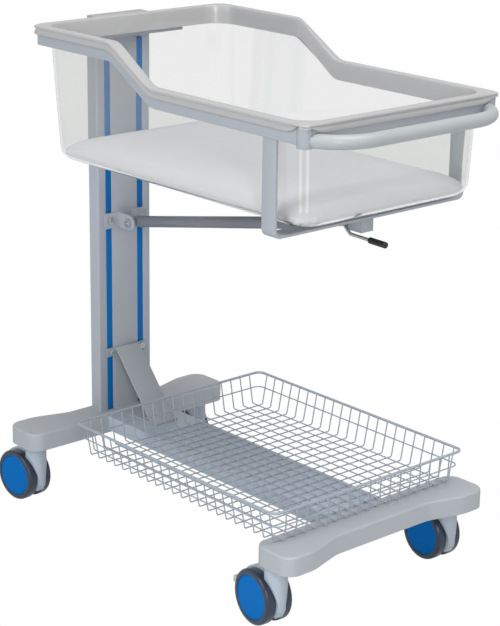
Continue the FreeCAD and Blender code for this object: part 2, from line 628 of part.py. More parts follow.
screw_reach = SLOT_SCREW_HEAD_RADIUS + STRIP_END_GAP
strip_runs = [(BEAM_TOP_Z + STRIP_END_GAP, gusset_screw_z - screw_reach),
              (gusset_screw_z + screw_reach, STRUT_LOW_Z - BRACKET_HEIGHT / 2 - STRIP_END_GAP),
              (STRUT_LOW_Z + BRACKET_HEIGHT / 2 + STRIP_END_GAP,
               HINGE_Z - LEAF_HALF_HEIGHT - STRIP_END_GAP)]
strips = []
for y in (-SLOT_CENTRE_Y, SLOT_CENTRE_Y):
    for low_z, high_z in strip_runs:
        strip = block(undercut_front_x, undercut_front_x + STRIP_THICKNESS,
                      y - SLOT_OPENING / 2 + STRIP_PLAY, y + SLOT_OPENING / 2 - STRIP_PLAY,
                      low_z, high_z)
        strips.append(strip)
save("slot_strips", *strips)


# ---- Gas strut ---------------------------------------------------------------------------------
strut_run = Vector(STRUT_HIGH_X - STRUT_LOW_X, 0, STRUT_HIGH_Z - STRUT_LOW_Z)
strut_length = strut_run.Length
strut_dir = Vector(strut_run).normalize()


def on_strut(distance):
    return Vector(STRUT_LOW_X, 0, STRUT_LOW_Z) + strut_dir * distance


def cross_barrel(distance, radius, width):
    """A short barrel across the strut, along Y."""
    centre = on_strut(distance)
    half = Vector(0, width / 2, 0)
    return bar(centre - half, centre + half, radius)


eye = cross_barrel(0, STRUT_EYE_RADIUS, STRUT_EYE_WIDTH)
tube = bar(on_strut(STRUT_TUBE_START), on_strut(STRUT_TUBE_END), STRUT_TUBE_RADIUS)
tube_bore = bar(on_strut(STRUT_TUBE_START + STRUT_GLAND_LENGTH),
                on_strut(STRUT_TUBE_END - STRUT_GLAND_LENGTH), STRUT_TUBE_RADIUS - STRUT_TUBE_WALL)
gland_bore = bar(on_strut(STRUT_TUBE_END - 2 * STRUT_GLAND_LENGTH),
                 on_strut(STRUT_TUBE_END + STRUT_GLAND_LENGTH), STRUT_ROD_RADIUS + RUNNING_CLEARANCE)
shank = bar(on_strut(0), on_strut(STRUT_TUBE_START + STRUT_GLAND_LENGTH / 2), STRUT_SHANK_RADIUS)
cylinder = joined(eye, shank, tube.cut(tube_bore).cut(gland_bore))
cylinder = cylinder.cut(cross_barrel(0, STRUT_PIN_RADIUS + RUNNING_CLEARANCE, 4 * STRUT_EYE_WIDTH))
piston_radius = STRUT_TUBE_RADIUS - STRUT_TUBE_WALL - RUNNING_CLEARANCE
rod = joined(
    bar(on_strut(STRUT_PISTON_FROM), on_strut(strut_length), STRUT_NECK_RADIUS),
    bar(on_strut(STRUT_PISTON_FROM), on_strut(strut_length - STRUT_NECK_LENGTH), STRUT_ROD_RADIUS),
    bar(on_strut(STRUT_PISTON_FROM), on_strut(STRUT_PISTON_FROM + STRUT_PISTON_LENGTH), piston_radius),
    cross_barrel(strut_length, STRUT_ROD_EYE_RADIUS, STRUT_ROD_EYE_WIDTH))
save("strut_cylinder", cylinder)
save("strut_rod", rod)


# ---- Basin frame: band under the rim, corner posts, push handle and cross strap ------------------
def below_rim(drop):
    """Everything lower than the rim's top line, lowered by a drop."""
    high = RIM_HIGH_Z - drop
    low = RIM_LOW_Z - drop
    points = [(-FAR, -FAR, 0), (FAR, -FAR, 0), (FAR, -FAR, low), (RIM_LOW_START_X, -FAR, low),
              (RIM_HIGH_END_X, -FAR, high), (-FAR, -FAR, high)]
    radii = [0, 0, 0, RIM_BEND_RADIUS, RIM_BEND_RADIUS, 0]
    face = Part.Face(rounded_path(points, radii, closed=True))
    return face.extrude(Vector(0, 2 * FAR, 0))


def upright(x0, x1, half_width, head_radius, foot_radius):
    """A tall prism on a plan outline, for cutting rims and bands from."""
    return prism(outline(x0, x1, half_width, head_radius, foot_radius, 0), FAR)


rim_line = below_rim(0)
under_lip = below_rim(LIP_SHEET)
band = upright(BAND_HEAD_X, BAND_FOOT_X, BAND_HALF_WIDTH, BAND_HEAD_RADIUS, BAND_FOOT_RADIUS)
band = band.cut(upright(BAND_HEAD_X + BAND_THICKNESS, BAND_FOOT_X - BAND_THICKNESS,
                        BAND_HALF_WIDTH - BAND_THICKNESS, BAND_HEAD_RADIUS - BAND_THICKNESS,
                        BAND_FOOT_RADIUS - BAND_THICKNESS))
band = band.common(under_lip).cut(below_rim(BAND_DEPTH))


def post(y, radius):
    low_z = HANDLE_Z - HANDLE_RADIUS
    return Part.makeCylinder(radius, POST_TOP_Z - low_z, Vector(POST_X, y, low_z))


posts = [post(-POST_Y, POST_RADIUS), post(POST_Y, POST_RADIUS)]
for corner_post in posts:
    band = band.cut(corner_post)

handle_start_x = min(HANDLE_X - HANDLE_BEND_RADIUS - HANDLE_LEAD, POST_X)
handle_points = [(handle_start_x, -HANDLE_HALF_WIDTH, HANDLE_Z),
                 (HANDLE_X, -HANDLE_HALF_WIDTH, HANDLE_Z), (HANDLE_X, HANDLE_HALF_WIDTH, HANDLE_Z),
                 (handle_start_x, HANDLE_HALF_WIDTH, HANDLE_Z)]
handle_radii = [0, HANDLE_BEND_RADIUS, HANDLE_BEND_RADIUS, 0]
handle = wire_rod(handle_points, handle_radii, HANDLE_RADIUS)
handle = handle.cut(wire_rod(handle_points, handle_radii, HANDLE_RADIUS - HANDLE_WALL))
handle = handle.cut(block(0, BAND_FOOT_X, -FAR, FAR, 0, FAR))
for corner_post in posts:
    handle = handle.cut(corner_post)
handle = max(handle.Solids, key=lambda solid: solid.Volume)

strap_outer = BAND_HALF_WIDTH
strap_inner = BAND_HALF_WIDTH - STRAP_THICKNESS
strap_low = STRAP_BOTTOM_Z
strap_points = [(STRAP_X, -strap_outer, BAND_LOW_Z), (STRAP_X, -strap_outer, strap_low),
                (STRAP_X, strap_outer, strap_low), (STRAP_X, strap_outer, BAND_LOW_Z),
                (STRAP_X, strap_inner, BAND_LOW_Z), (STRAP_X, strap_inner, strap_low + STRAP_THICKNESS),
                (STRAP_X, -strap_inner, strap_low + STRAP_THICKNESS), (STRAP_X, -strap_inner, BAND_LOW_Z)]
inner_bend = STRAP_BEND_RADIUS - STRAP_THICKNESS
strap_radii = [0, STRAP_BEND_RADIUS, STRAP_BEND_RADIUS, 0, 0, inner_bend, inner_bend, 0]
strap_face = Part.Face(rounded_path(strap_points, strap_radii, closed=True))
strap = strap_face.extrude(Vector(STRAP_WIDTH, 0, 0))

save("hinge_plate", hinge_plate)
save("rim_frame", band)
save("corner_posts", *posts)
save("push_handle", handle)
save("cross_strap", strap)

# ---- Release head under the strap, with its lever ------------------------------------------------
release_block = block(BLOCK_BACK_X, BLOCK_FRONT_X, -BLOCK_HALF_WIDTH, BLOCK_HALF_WIDTH,
                      BLOCK_TOP_Z - BLOCK_HEIGHT, BLOCK_TOP_Z)
inside_half = BLOCK_HALF_WIDTH - BLOCK_WALL
release_block = release_block.cut(block(BLOCK_BACK_X, BLOCK_FRONT_X - BLOCK_WALL, -inside_half,
                                        inside_half, BLOCK_TOP_Z - BLOCK_HEIGHT,
                                        BLOCK_TOP_Z - BLOCK_WALL))
release_block = release_block.cut(bar((LEVER_PIVOT_X, -FAR, LEVER_PIVOT_Z),
                                      (LEVER_PIVOT_X, 0, LEVER_PIVOT_Z),
                                      LEVER_RADIUS + RUNNING_CLEARANCE))
lever_points = [(LEVER_PIVOT_X, LEVER_INNER_Y, LEVER_PIVOT_Z),
                (LEVER_PIVOT_X, LEVER_OUTER_Y, LEVER_PIVOT_Z), LEVER_ELBOW, LEVER_END]
lever = wire_rod(lever_points, [0, LEVER_SHAFT_BEND, LEVER_ELBOW_BEND, 0], LEVER_RADIUS)
arm_dir = (Vector(LEVER_END) - Vector(LEVER_ELBOW)).normalize()
grip_start = Vector(LEVER_END) - arm_dir * GRIP_OVERLAP
grip = bar(grip_start, grip_start + arm_dir * GRIP_LENGTH, GRIP_RADIUS)
grip = grip.makeFillet(GRIP_END_ROUND, [e for e in grip.Edges if e.Curve.TypeId == "Part::GeomCircle"])
grip = grip.cut(lever)
save("release_block", release_block)
save("release_lever", lever)
save("lever_grip", grip)


# ---- Tub: a clear moulding that hangs on the band by its lip -------------------------------------
def tub_mould(inset, floor_z, floor_radius):
    """The tapered body, drawn in by an inset all round."""
    taper_low = outline(TUB_BOTTOM_HEAD_X + inset, TUB_BOTTOM_FOOT_X - inset,
                        TUB_BOTTOM_HALF_WIDTH - inset, TUB_CORNER_RADIUS - inset,
                        TUB_CORNER_RADIUS - inset, floor_z)
    taper_high = outline(TUB_TOP_HEAD_X + inset, TUB_TOP_FOOT_X - inset, TUB_TOP_HALF_WIDTH - inset,
                         TUB_CORNER_RADIUS - inset, TUB_CORNER_RADIUS - inset, TUB_MOULD_TOP_Z)
    body = Part.makeLoft([taper_low, taper_high], True, True)
    floor_edges = [e for e in body.Edges if e.BoundBox.ZMax < floor_z + NEAR]
    return body.makeFillet(floor_radius, floor_edges)


tub_outside = tub_mould(0, TUB_BOTTOM_Z, TUB_FLOOR_RADIUS)
tub_inside = tub_mould(TUB_WALL, TUB_BOTTOM_Z + TUB_WALL, TUB_FLOOR_RADIUS - TUB_WALL)
lip = upright(BAND_HEAD_X - LIP_HEAD_OVERHANG, BAND_FOOT_X + LIP_FOOT_OVERHANG,
              BAND_HALF_WIDTH + LIP_SIDE_OVERHANG, BAND_HEAD_RADIUS + LIP_HEAD_OVERHANG, LIP_FOOT_RADIUS)
lip = lip.common(rim_line).cut(below_rim(LIP_HEIGHT))
channel = upright(BAND_HEAD_X - LIP_SKIRT_PLAY, BAND_FOOT_X + LIP_SKIRT_PLAY,
                  BAND_HALF_WIDTH + LIP_SKIRT_PLAY, BAND_HEAD_RADIUS + LIP_SKIRT_PLAY,
                  BAND_FOOT_RADIUS + LIP_SKIRT_PLAY)
lip = lip.cut(channel.common(under_lip))
tub = lip.fuse(tub_outside.common(rim_line)).cut(tub_inside)
for corner_post in (post(-POST_Y, POST_RADIUS + LIP_POST_PLAY), post(POST_Y, POST_RADIUS + LIP_POST_PLAY)):
    tub = tub.cut(corner_post)
tub = max(tub.removeSplitter().Solids, key=lambda solid: solid.Volume)
save("tub", tub)

mattress_low_z = TUB_BOTTOM_Z + TUB_WALL
gap = TUB_WALL + MATTRESS_PLAY
mattress = prism(outline(TUB_BOTTOM_HEAD_X + gap, TUB_BOTTOM_FOOT_X - gap,
                         TUB_BOTTOM_HALF_WIDTH - gap, TUB_CORNER_RADIUS - gap,
                         TUB_CORNER_RADIUS - gap, mattress_low_z), MATTRESS_THICKNESS)
upper_edges = [e for e in mattress.Edges if e.BoundBox.ZMin > mattress_low_z + MATTRESS_THICKNESS - NEAR]
mattress = mattress.makeFillet(MATTRESS_UPPER_ROUND, upper_edges)
lower_edges = [e for e in mattress.Edges if e.BoundBox.ZMax < mattress_low_z + NEAR]
mattress = mattress.makeFillet(MATTRESS_LOWER_ROUND, lower_edges)
save("mattress", mattress)

# ---- Wire basket lying on the rail and the foot beam ----------------------------------------------
cross_z = BEAM_TOP_Z + BASKET_WIRE
long_z = cross_z + 2 * BASKET_WIRE


def spread(first, last, pitch):
    """Evenly spaced places from first to last, as near the pitch as fits."""
    gaps = round((last - first) / pitch)
    return [first + (last - first) * i / gaps for i in range(gaps + 1)]


long_head = BASKET_FLOOR_HEAD_X + BASKET_END_RUN_IN
long_foot = BASKET_FLOOR_FOOT_X - BASKET_END_RUN_IN
cross_reach = BASKET_FLOOR_HALF_WIDTH - BASKET_SIDE_RUN_IN
cross_places = spread(long_head, long_foot, BASKET_CROSS_PITCH)
long_places = spread(-cross_reach, cross_reach, BASKET_LONG_PITCH)
floor_wires = [bar((x, -cross_reach, cross_z), (x, cross_reach, cross_z), BASKET_WIRE)
               for x in cross_places]
floor_wires += [bar((long_head, y, long_z), (long_foot, y, long_z), BASKET_WIRE)
                for y in long_places]
save("basket_floor", *floor_wires)

inside_rim = BASKET_RIM_WIRE + BASKET_WIRE - BASKET_WELD
outside_wall = 2 * BASKET_WIRE - BASKET_WELD


def tie_place(floor, rim, floor_z):
    """Where the half-height wire runs, outside the wires that rise from the floor to the rim."""
    outward = math.copysign(1, rim - floor)
    rise = (BASKET_MID_Z - floor_z) / (BASKET_RIM_Z - floor_z)
    return floor + (rim - outward * inside_rim - floor) * rise + outward * outside_wall


tie_y = tie_place(BASKET_FLOOR_HALF_WIDTH, BASKET_RIM_HALF_WIDTH, cross_z)
tie_head_x = tie_place(BASKET_FLOOR_HEAD_X, BASKET_RIM_HEAD_X, long_z)
tie_foot_x = tie_place(BASKET_FLOOR_FOOT_X, BASKET_RIM_FOOT_X, long_z)


def side_wall():
    """The near wall: the cross wires turned up to the rim, tied by one wire at half height."""
    top_y = -BASKET_RIM_HALF_WIDTH + inside_rim
    uprights = [wire_rod([(x, -cross_reach, cross_z), (x, -BASKET_FLOOR_HALF_WIDTH, cross_z),
                          (x, top_y, BASKET_RIM_Z)], [0, BASKET_BEND, 0], BASKET_WIRE)
                for x in cross_places]
    tie = bar((tie_head_x + BASKET_RIM_BEND, -tie_y, BASKET_MID_Z),
              (tie_foot_x - BASKET_RIM_BEND, -tie_y, BASKET_MID_Z), BASKET_WIRE)
    return uprights[0].multiFuse(uprights[1:] + [tie])


def end_wall(floor_x, start_x, rim_x, tie_x):
    """The head or foot wall: the long wires turned up to the rim, and its tie bent round the corners."""
    outward = math.copysign(1, rim_x - floor_x)
    top_x = rim_x - outward * inside_rim
    uprights = [wire_rod([(start_x, y, long_z), (floor_x, y, long_z), (top_x, y, BASKET_RIM_Z)],
                         [0, BASKET_BEND, 0], BASKET_WIRE) for y in long_places]
    side_x = tie_x - outward * BASKET_RIM_BEND
    tie_corners = [(side_x, -tie_y), (tie_x, -tie_y), (tie_x, tie_y), (side_x, tie_y)]
    tie = wire_rod([(x, y, BASKET_MID_Z) for x, y in tie_corners],
                   [0, BASKET_RIM_BEND, BASKET_RIM_BEND, 0], BASKET_WIRE)
    return uprights[0].multiFuse(uprights[1:] + [tie])


near_wall = side_wall()
save("basket_wall_near", near_wall)
save("basket_wall_far", mirrored(near_wall))
save("basket_wall_head", end_wall(BASKET_FLOOR_HEAD_X, long_head, BASKET_RIM_HEAD_X, tie_head_x))
save("basket_wall_foot", end_wall(BASKET_FLOOR_FOOT_X, long_foot, BASKET_RIM_FOOT_X, tie_foot_x))
rim_mid_x = (BASKET_RIM_HEAD_X + BASKET_RIM_FOOT_X) / 2
rim_points = [(rim_mid_x, -BASKET_RIM_HALF_WIDTH, BASKET_RIM_Z),
              (BASKET_RIM_FOOT_X, -BASKET_RIM_HALF_WIDTH, BASKET_RIM_Z),
              (BASKET_RIM_FOOT_X, BASKET_RIM_HALF_WIDTH, BASKET_RIM_Z),
              (BASKET_RIM_HEAD_X, BASKET_RIM_HALF_WIDTH, BASKET_RIM_Z),
              (BASKET_RIM_HEAD_X, -BASKET_RIM_HALF_WIDTH, BASKET_RIM_Z),
              (rim_mid_x, -BASKET_RIM_HALF_WIDTH, BASKET_RIM_Z)]
rim_bends = [0] + [BASKET_RIM_BEND] * 4 + [0]
save("basket_rim", wire_rod(rim_points, rim_bends, BASKET_RIM_WIRE))

# ---- Castors ----------------------------------------------------------------------------------------
stem_flange_z = BEAM_BOTTOM_Z - STEM_FLANGE_HEIGHT
neck_top_z = stem_flange_z - SWIVEL_GAP
stems = []
for stem_x, stem_y in STEMS.values():
    shaft = Part.makeCylinder(STEM_RADIUS, STEM_DEPTH + stem_flange_z - STEM_LOW_Z,
                              Vector(stem_x, stem_y, STEM_LOW_Z))
    flange = Part.makeCylinder(STEM_FLANGE_RADIUS, STEM_FLANGE_HEIGHT,
                               Vector(stem_x, stem_y, stem_flange_z))
    stems.append(shaft.fuse(flange))
save("castor_stems", *stems)


def turned(profile):
    """A solid of revolution about the wheel's axle, from (radius, sideways) points."""
    points = [Vector(radius, side, 0) for radius, side in profile]
    face = Part.Face(Part.makePolygon(points + points[:1]))
    return face.revolve(Vector(0, 0, 0), Vector(0, 1, 0), 360)


inner_side = YOKE_WIDTH / 2 + WHEEL_SIDE_GAP
outer_side = CASTOR_WIDTH / 2
TYRE = turned([(DISC_RADIUS, inner_side), (WHEEL_RADIUS - TREAD_INNER_CHAMFER, inner_side),
               (WHEEL_RADIUS, inner_side + TREAD_INNER_CHAMFER),
               (WHEEL_RADIUS, outer_side - TREAD_CHAMFER),
               (WHEEL_RADIUS - TREAD_CHAMFER, outer_side), (DISC_RADIUS, outer_side)])
axle_half = outer_side - 2 * DISC_WALL
bore = AXLE_RADIUS + RUNNING_CLEARANCE
DISC = turned([(bore, inner_side), (DISC_HUB_RADIUS, inner_side),
               (DISC_HUB_RADIUS, outer_side - DISC_WALL - DISC_DOME),
               (DISC_RADIUS - DISC_WALL, outer_side - DISC_WALL - DISC_DOME),
               (DISC_RADIUS - DISC_WALL, inner_side), (DISC_RADIUS, inner_side),
               (DISC_RADIUS, outer_side - DISC_DOME), (DISC_FLAT_RADIUS, outer_side),
               (0, outer_side), (0, axle_half), (bore, axle_half)])


def yoke():
    """The moulded body between the two wheels, with the round neck that turns on the stem."""
    half = YOKE_WIDTH / 2
    fender = Part.makeCylinder(WHEEL_RADIUS + YOKE_FENDER, YOKE_WIDTH,
                               Vector(-CASTOR_TRAIL, -half, WHEEL_RADIUS), Vector(0, 1, 0))
    fender = fender.common(block(-FAR, FAR, -half, half, YOKE_BOTTOM_Z, FAR))
    nose_points = [(-CASTOR_TRAIL, -half, YOKE_BOTTOM_Z), (YOKE_NOSE_X, -half, YOKE_BOTTOM_Z),
                   (YOKE_NOSE_X, -half, neck_top_z), (-CASTOR_TRAIL, -half, neck_top_z - NECK_RADIUS)]
    nose_face = Part.Face(rounded_path(nose_points, [0, YOKE_CORNER_RADIUS, 0, 0], closed=True))
    nose = nose_face.extrude(Vector(0, YOKE_WIDTH, 0))
    taper_points = [Vector(-NECK_RADIUS, y, z) for y, z in
                    [(-NECK_RADIUS, neck_top_z), (-NECK_RADIUS, NECK_ROUND_Z), (-half / 2, NECK_TAPER_Z),
                     (half / 2, NECK_TAPER_Z), (NECK_RADIUS, NECK_ROUND_Z), (NECK_RADIUS, neck_top_z)]]
    taper = Part.Face(Part.makePolygon(taper_points + taper_points[:1]))
    taper = taper.extrude(Vector(2 * NECK_RADIUS, 0, 0))
    neck = taper.common(Part.makeCylinder(NECK_RADIUS, FAR))
    wheels_room = Part.makeCylinder(WHEEL_RADIUS + WHEEL_TOP_GAP, FAR,
                                    Vector(-CASTOR_TRAIL, half, WHEEL_RADIUS), Vector(0, 1, 0))
    neck = neck.cut(wheels_room).cut(mirrored(wheels_room))
    body = joined(fender, nose, neck)
    body = body.cut(Part.makeCylinder(STEM_RADIUS + RUNNING_CLEARANCE, FAR,
                                      Vector(0, 0, STEM_LOW_Z - SWIVEL_GAP)))
    return body.cut(bar((-CASTOR_TRAIL, -FAR, WHEEL_RADIUS), (-CASTOR_TRAIL, FAR, WHEEL_RADIUS),
                        AXLE_RADIUS))


YOKE = yoke()
AXLE = bar((-CASTOR_TRAIL, -axle_half, WHEEL_RADIUS), (-CASTOR_TRAIL, axle_half, WHEEL_RADIUS), AXLE_RADIUS)


def across(radius, half_width):
    """A round pin along the axle's direction, at the brake's pivot."""
    return bar((BRAKE_PIVOT_X, -half_width, BRAKE_PIVOT_Z), (BRAKE_PIVOT_X, half_width, BRAKE_PIVOT_Z),
               radius)


def brake_pedal():
    """A pedal on its own pin through the yoke's cheeks, with a tread behind the wheels."""
    half_hub = BRAKE_HUB_WIDTH / 2
    half_tread = BRAKE_TREAD_WIDTH / 2
    low_z = BRAKE_PIVOT_Z - BRAKE_ARM_THICKNESS / 2
    high_z = BRAKE_PIVOT_Z + BRAKE_ARM_THICKNESS / 2
    middle_x = BRAKE_PIVOT_X - (BRAKE_TREAD_START + BRAKE_TREAD_END) / 2
    arm = block(middle_x, BRAKE_PIVOT_X, -half_hub, half_hub, low_z, high_z)
    tread = block(BRAKE_PIVOT_X - BRAKE_TREAD_END, BRAKE_PIVOT_X - BRAKE_TREAD_START,
                  -half_tread, half_tread, high_z - BRAKE_TREAD_HEIGHT, high_z)
    tread = tread.makeFillet(BRAKE_TREAD_ROUND, tread.Edges)
    return joined(across(BRAKE_HUB_RADIUS, half_hub), across(BRAKE_PIN_RADIUS, YOKE_WIDTH / 2), arm, tread)


def brake_slot():
    """Room for the pedal's hub and its swing, open at the back of the yoke."""
    half = BRAKE_HUB_WIDTH / 2 + BRAKE_SIDE_GAP
    low_z = BRAKE_PIVOT_Z - BRAKE_SLOT_RADIUS
    high_z = BRAKE_PIVOT_Z + BRAKE_SLOT_RADIUS
    return joined(across(BRAKE_SLOT_RADIUS, half), across(BRAKE_PIN_RADIUS + RUNNING_CLEARANCE, YOKE_WIDTH),
                  block(-FAR, BRAKE_PIVOT_X, -half, half, low_z, high_z))


def in_place(shape, corner):
    """A castor piece turned to its own swivel angle and set under its stem."""
    moved = shape.copy()
    moved.rotate(Vector(0, 0, 0), Vector(0, 0, 1), SWIVEL_ANGLES[corner])
    moved.translate(Vector(STEMS[corner][0], STEMS[corner][1], 0))
    return moved


def at_axle(shape):
    return shape.translated(Vector(-CASTOR_TRAIL, 0, WHEEL_RADIUS))


BRAKE = brake_pedal()
BRAKED_YOKE = YOKE.cut(brake_slot())
for corner in STEMS:
    outer_sign = -1 if corner.startswith("near") else 1
    braked = corner.endswith("foot")
    save("yoke_" + corner, in_place(BRAKED_YOKE if braked else YOKE, corner))
    save("axle_" + corner, in_place(AXLE, corner))
    if braked:
        save("brake_" + corner, in_place(BRAKE, corner))
    for place, sign in (("outer", outer_sign), ("inner", -outer_sign)):
        tyre = TYRE if sign > 0 else mirrored(TYRE)
        disc = DISC if sign > 0 else mirrored(DISC)
        save("tyre_" + corner + "_" + place, in_place(at_axle(tyre), corner))
        save("disc_" + corner + "_" + place, in_place(at_axle(disc), corner))
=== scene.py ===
import bmesh
import bpy
import json
from math import atan2, cos, pi, radians, sin, tan
from mathutils import Matrix, Vector


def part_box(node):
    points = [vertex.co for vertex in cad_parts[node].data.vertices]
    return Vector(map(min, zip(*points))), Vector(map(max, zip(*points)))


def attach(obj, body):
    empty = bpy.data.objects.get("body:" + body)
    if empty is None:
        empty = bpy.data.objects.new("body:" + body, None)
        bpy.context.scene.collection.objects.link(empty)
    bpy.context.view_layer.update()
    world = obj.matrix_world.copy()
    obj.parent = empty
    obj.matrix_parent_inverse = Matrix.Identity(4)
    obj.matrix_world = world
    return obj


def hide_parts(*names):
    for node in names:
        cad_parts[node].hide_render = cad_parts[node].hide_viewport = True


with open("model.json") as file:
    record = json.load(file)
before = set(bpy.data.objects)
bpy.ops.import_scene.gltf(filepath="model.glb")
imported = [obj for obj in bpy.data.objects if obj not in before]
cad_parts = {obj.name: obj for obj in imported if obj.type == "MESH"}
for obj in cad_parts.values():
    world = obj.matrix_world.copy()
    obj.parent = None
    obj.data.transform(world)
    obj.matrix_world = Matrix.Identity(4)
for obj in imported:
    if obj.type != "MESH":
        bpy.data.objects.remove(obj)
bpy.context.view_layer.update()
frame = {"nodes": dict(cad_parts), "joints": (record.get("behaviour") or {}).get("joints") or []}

# ---- Cross beams ---------------------------------------------------------------------------
# Two aluminium castings lie across the base, wide over the castors and waisted between them.
# They are sand cast, fettled and powder coated light grey, so their skin has a fine orange peel.

mm = 0.001
cad_node = frame["nodes"]


def paint_chip(red, green, blue):
    """A colour read as 0-255 display values, as the linear colour that shaders take."""
    channels = [value / 255 for value in (red, green, blue)]
    linear = [c / 12.92 if c <= 0.04045 else ((c + 0.055) / 1.055) ** 2.4 for c in channels]
    return (*linear, 1)


def new_group(name, inputs, outputs):
    """An empty shader group with its inputs (name, kind, default) and outputs (name, kind)."""
    group = bpy.data.node_groups.new(name, "ShaderNodeTree")
    for label, kind, value in inputs:
        group.interface.new_socket(label, in_out="INPUT", socket_type=kind).default_value = value
    for label, kind in outputs:
        group.interface.new_socket(label, in_out="OUTPUT", socket_type=kind)
    return group, group.nodes.new("NodeGroupInput").outputs, group.nodes.new("NodeGroupOutput").inputs


def skin_group():
    """Orange peel and a slow drift of tone, shared by every coated and moulded surface."""
    group, inner, outer = new_group(
        "coated_skin",
        [("Tone", "NodeSocketColor", (0.5, 0.5, 0.5, 1)), ("Grain Size", "NodeSocketFloat", 900.0),
         ("Drift", "NodeSocketFloat", 0.04), ("Gloss", "NodeSocketFloat", 0.4)],
        [("Colour", "NodeSocketColor"), ("Height", "NodeSocketFloat"), ("Roughness", "NodeSocketFloat")])
    nodes, link = group.nodes, group.links.new
    place = nodes.new("ShaderNodeTexCoord").outputs["Object"]
    peel = nodes.new("ShaderNodeTexNoise")
    peel.inputs["Detail"].default_value = 3
    link(place, peel.inputs["Vector"])
    link(inner["Grain Size"], peel.inputs["Scale"])
    cloud = nodes.new("ShaderNodeTexNoise")
    cloud.inputs["Scale"].default_value = 14
    cloud.inputs["Detail"].default_value = 5
    link(place, cloud.inputs["Vector"])
    centred = nodes.new("ShaderNodeMath")
    centred.operation = "SUBTRACT"
    centred.inputs[1].default_value = 0.5
    link(cloud.outputs["Fac"], centred.inputs[0])
    amount = nodes.new("ShaderNodeMath")
    amount.operation = "MULTIPLY_ADD"
    amount.inputs[2].default_value = 1
    link(centred.outputs[0], amount.inputs[0])
    link(inner["Drift"], amount.inputs[1])
    toned = nodes.new("ShaderNodeVectorMath")
    toned.operation = "SCALE"
    link(inner["Tone"], toned.inputs[0])
    link(amount.outputs[0], toned.inputs["Scale"])
    rough = nodes.new("ShaderNodeMath")
    rough.operation = "MULTIPLY_ADD"
    rough.inputs[1].default_value = 0.12
    link(centred.outputs[0], rough.inputs[0])
    link(inner["Gloss"], rough.inputs[2])
    link(toned.outputs[0], outer["Colour"])
    link(peel.outputs["Fac"], outer["Height"])
    link(rough.outputs[0], outer["Roughness"])
    return group


COATED_SKIN = skin_group()


def blank_material(name):
    """A new material with only its Principled shader, and shortcuts to its tree."""
    material = bpy.data.materials.new(name)
    material.use_nodes = True
    tree = material.node_tree
    return material, tree.nodes["Principled BSDF"], tree.nodes, tree.links.new


def coated(name, tone, roughness, grain_size=900.0, drift=0.05, peel_depth=0.02, shine=0.5):
    """A coated or moulded finish: one colour, orange peel in the bump and a slow drift of tone."""
    material, shader, nodes, link = blank_material(name)
    skin = nodes.new("ShaderNodeGroup")
    skin.node_tree = COATED_SKIN
    skin.inputs["Tone"].default_value = tone
    skin.inputs["Grain Size"].default_value = grain_size
    skin.inputs["Drift"].default_value = drift
    skin.inputs["Gloss"].default_value = roughness
    bump = nodes.new("ShaderNodeBump")
    bump.inputs["Strength"].default_value = 0.25
    bump.inputs["Distance"].default_value = peel_depth * mm
    link(skin.outputs["Colour"], shader.inputs["Base Color"])
    link(skin.outputs["Roughness"], shader.inputs["Roughness"])
    link(skin.outputs["Height"], bump.inputs["Height"])
    link(bump.outputs["Normal"], shader.inputs["Normal"])
    shader.inputs["Specular IOR Level"].default_value = shine
    return material


def crease_tree():
    """Shades a mesh smooth up to its sharp edges."""
    tree = bpy.data.node_groups.new("smooth_up_to_creases", "GeometryNodeTree")
    tree.interface.new_socket("Geometry", in_out="INPUT", socket_type="NodeSocketGeometry")
    tree.interface.new_socket("Crease Angle", in_out="INPUT", socket_type="NodeSocketFloat")
    tree.interface.new_socket("Geometry", in_out="OUTPUT", socket_type="NodeSocketGeometry")
    nodes, link = tree.nodes, tree.links.new
    inner, outer = nodes.new("NodeGroupInput").outputs, nodes.new("NodeGroupOutput").inputs
    faces = nodes.new("GeometryNodeSetShadeSmooth")
    faces.domain = "FACE"
    angle = nodes.new("GeometryNodeInputMeshEdgeAngle")
    sharper = nodes.new("FunctionNodeCompare")
    sharper.data_type = "FLOAT"
    sharper.operation = "LESS_THAN"
    edges = nodes.new("GeometryNodeSetShadeSmooth")
    edges.domain = "EDGE"
    link(inner["Geometry"], faces.inputs["Geometry"])
    link(faces.outputs[0], edges.inputs["Geometry"])
    link(angle.outputs["Unsigned Angle"], sharper.inputs[0])
    link(inner["Crease Angle"], sharper.inputs[1])
    link(sharper.outputs[0], edges.inputs["Shade Smooth"])
    link(edges.outputs[0], outer["Geometry"])
    return tree


CREASE_TREE = crease_tree()


def socket_id(tree, label):
    """The identifier by which a modifier knows one input of its tree."""
    return next(item.identifier for item in tree.interface.items_tree
                if item.name == label and item.in_out == "INPUT")


def eased(name, material, width=0.6, crease=32):
    """Gives a CAD node its finish: merged mesh, small rounded edges and smooth shading."""
    piece = cad_node[name]
    piece.data.materials.clear()
    piece.data.materials.append(material)
    weld = piece.modifiers.new("merge", "WELD")
    weld.merge_threshold = 0.02 * mm
    flat = piece.modifiers.new("clean_faces", "DECIMATE")
    flat.decimate_type = "DISSOLVE"
    flat.angle_limit = radians(0.5)
    if width:
        bevel = piece.modifiers.new("eased_edges", "BEVEL")
        bevel.width = width * mm
        bevel.segments = 2
        bevel.limit_method = "ANGLE"
        bevel.angle_limit = radians(crease)
        bevel.use_clamp_overlap = True
    shading = piece.modifiers.new("shading", "NODES")
    shading.node_group = CREASE_TREE
    shading[socket_id(CREASE_TREE, "Crease Angle")] = radians(crease)
    return piece


cast_coat = coated("cast_coat", paint_chip(172, 177, 183), 0.5, grain_size=700, peel_depth=0.05)
eased("head_beam", cast_coat, width=0)
eased("foot_beam", cast_coat, width=0)

# ---- Base rail -----------------------------------------------------------------------------
# A wide flat aluminium extrusion, sawn square and bolted between the two castings.
# It carries the gusset and the basket, and its coat is a slightly bluer grey than the steel parts'.

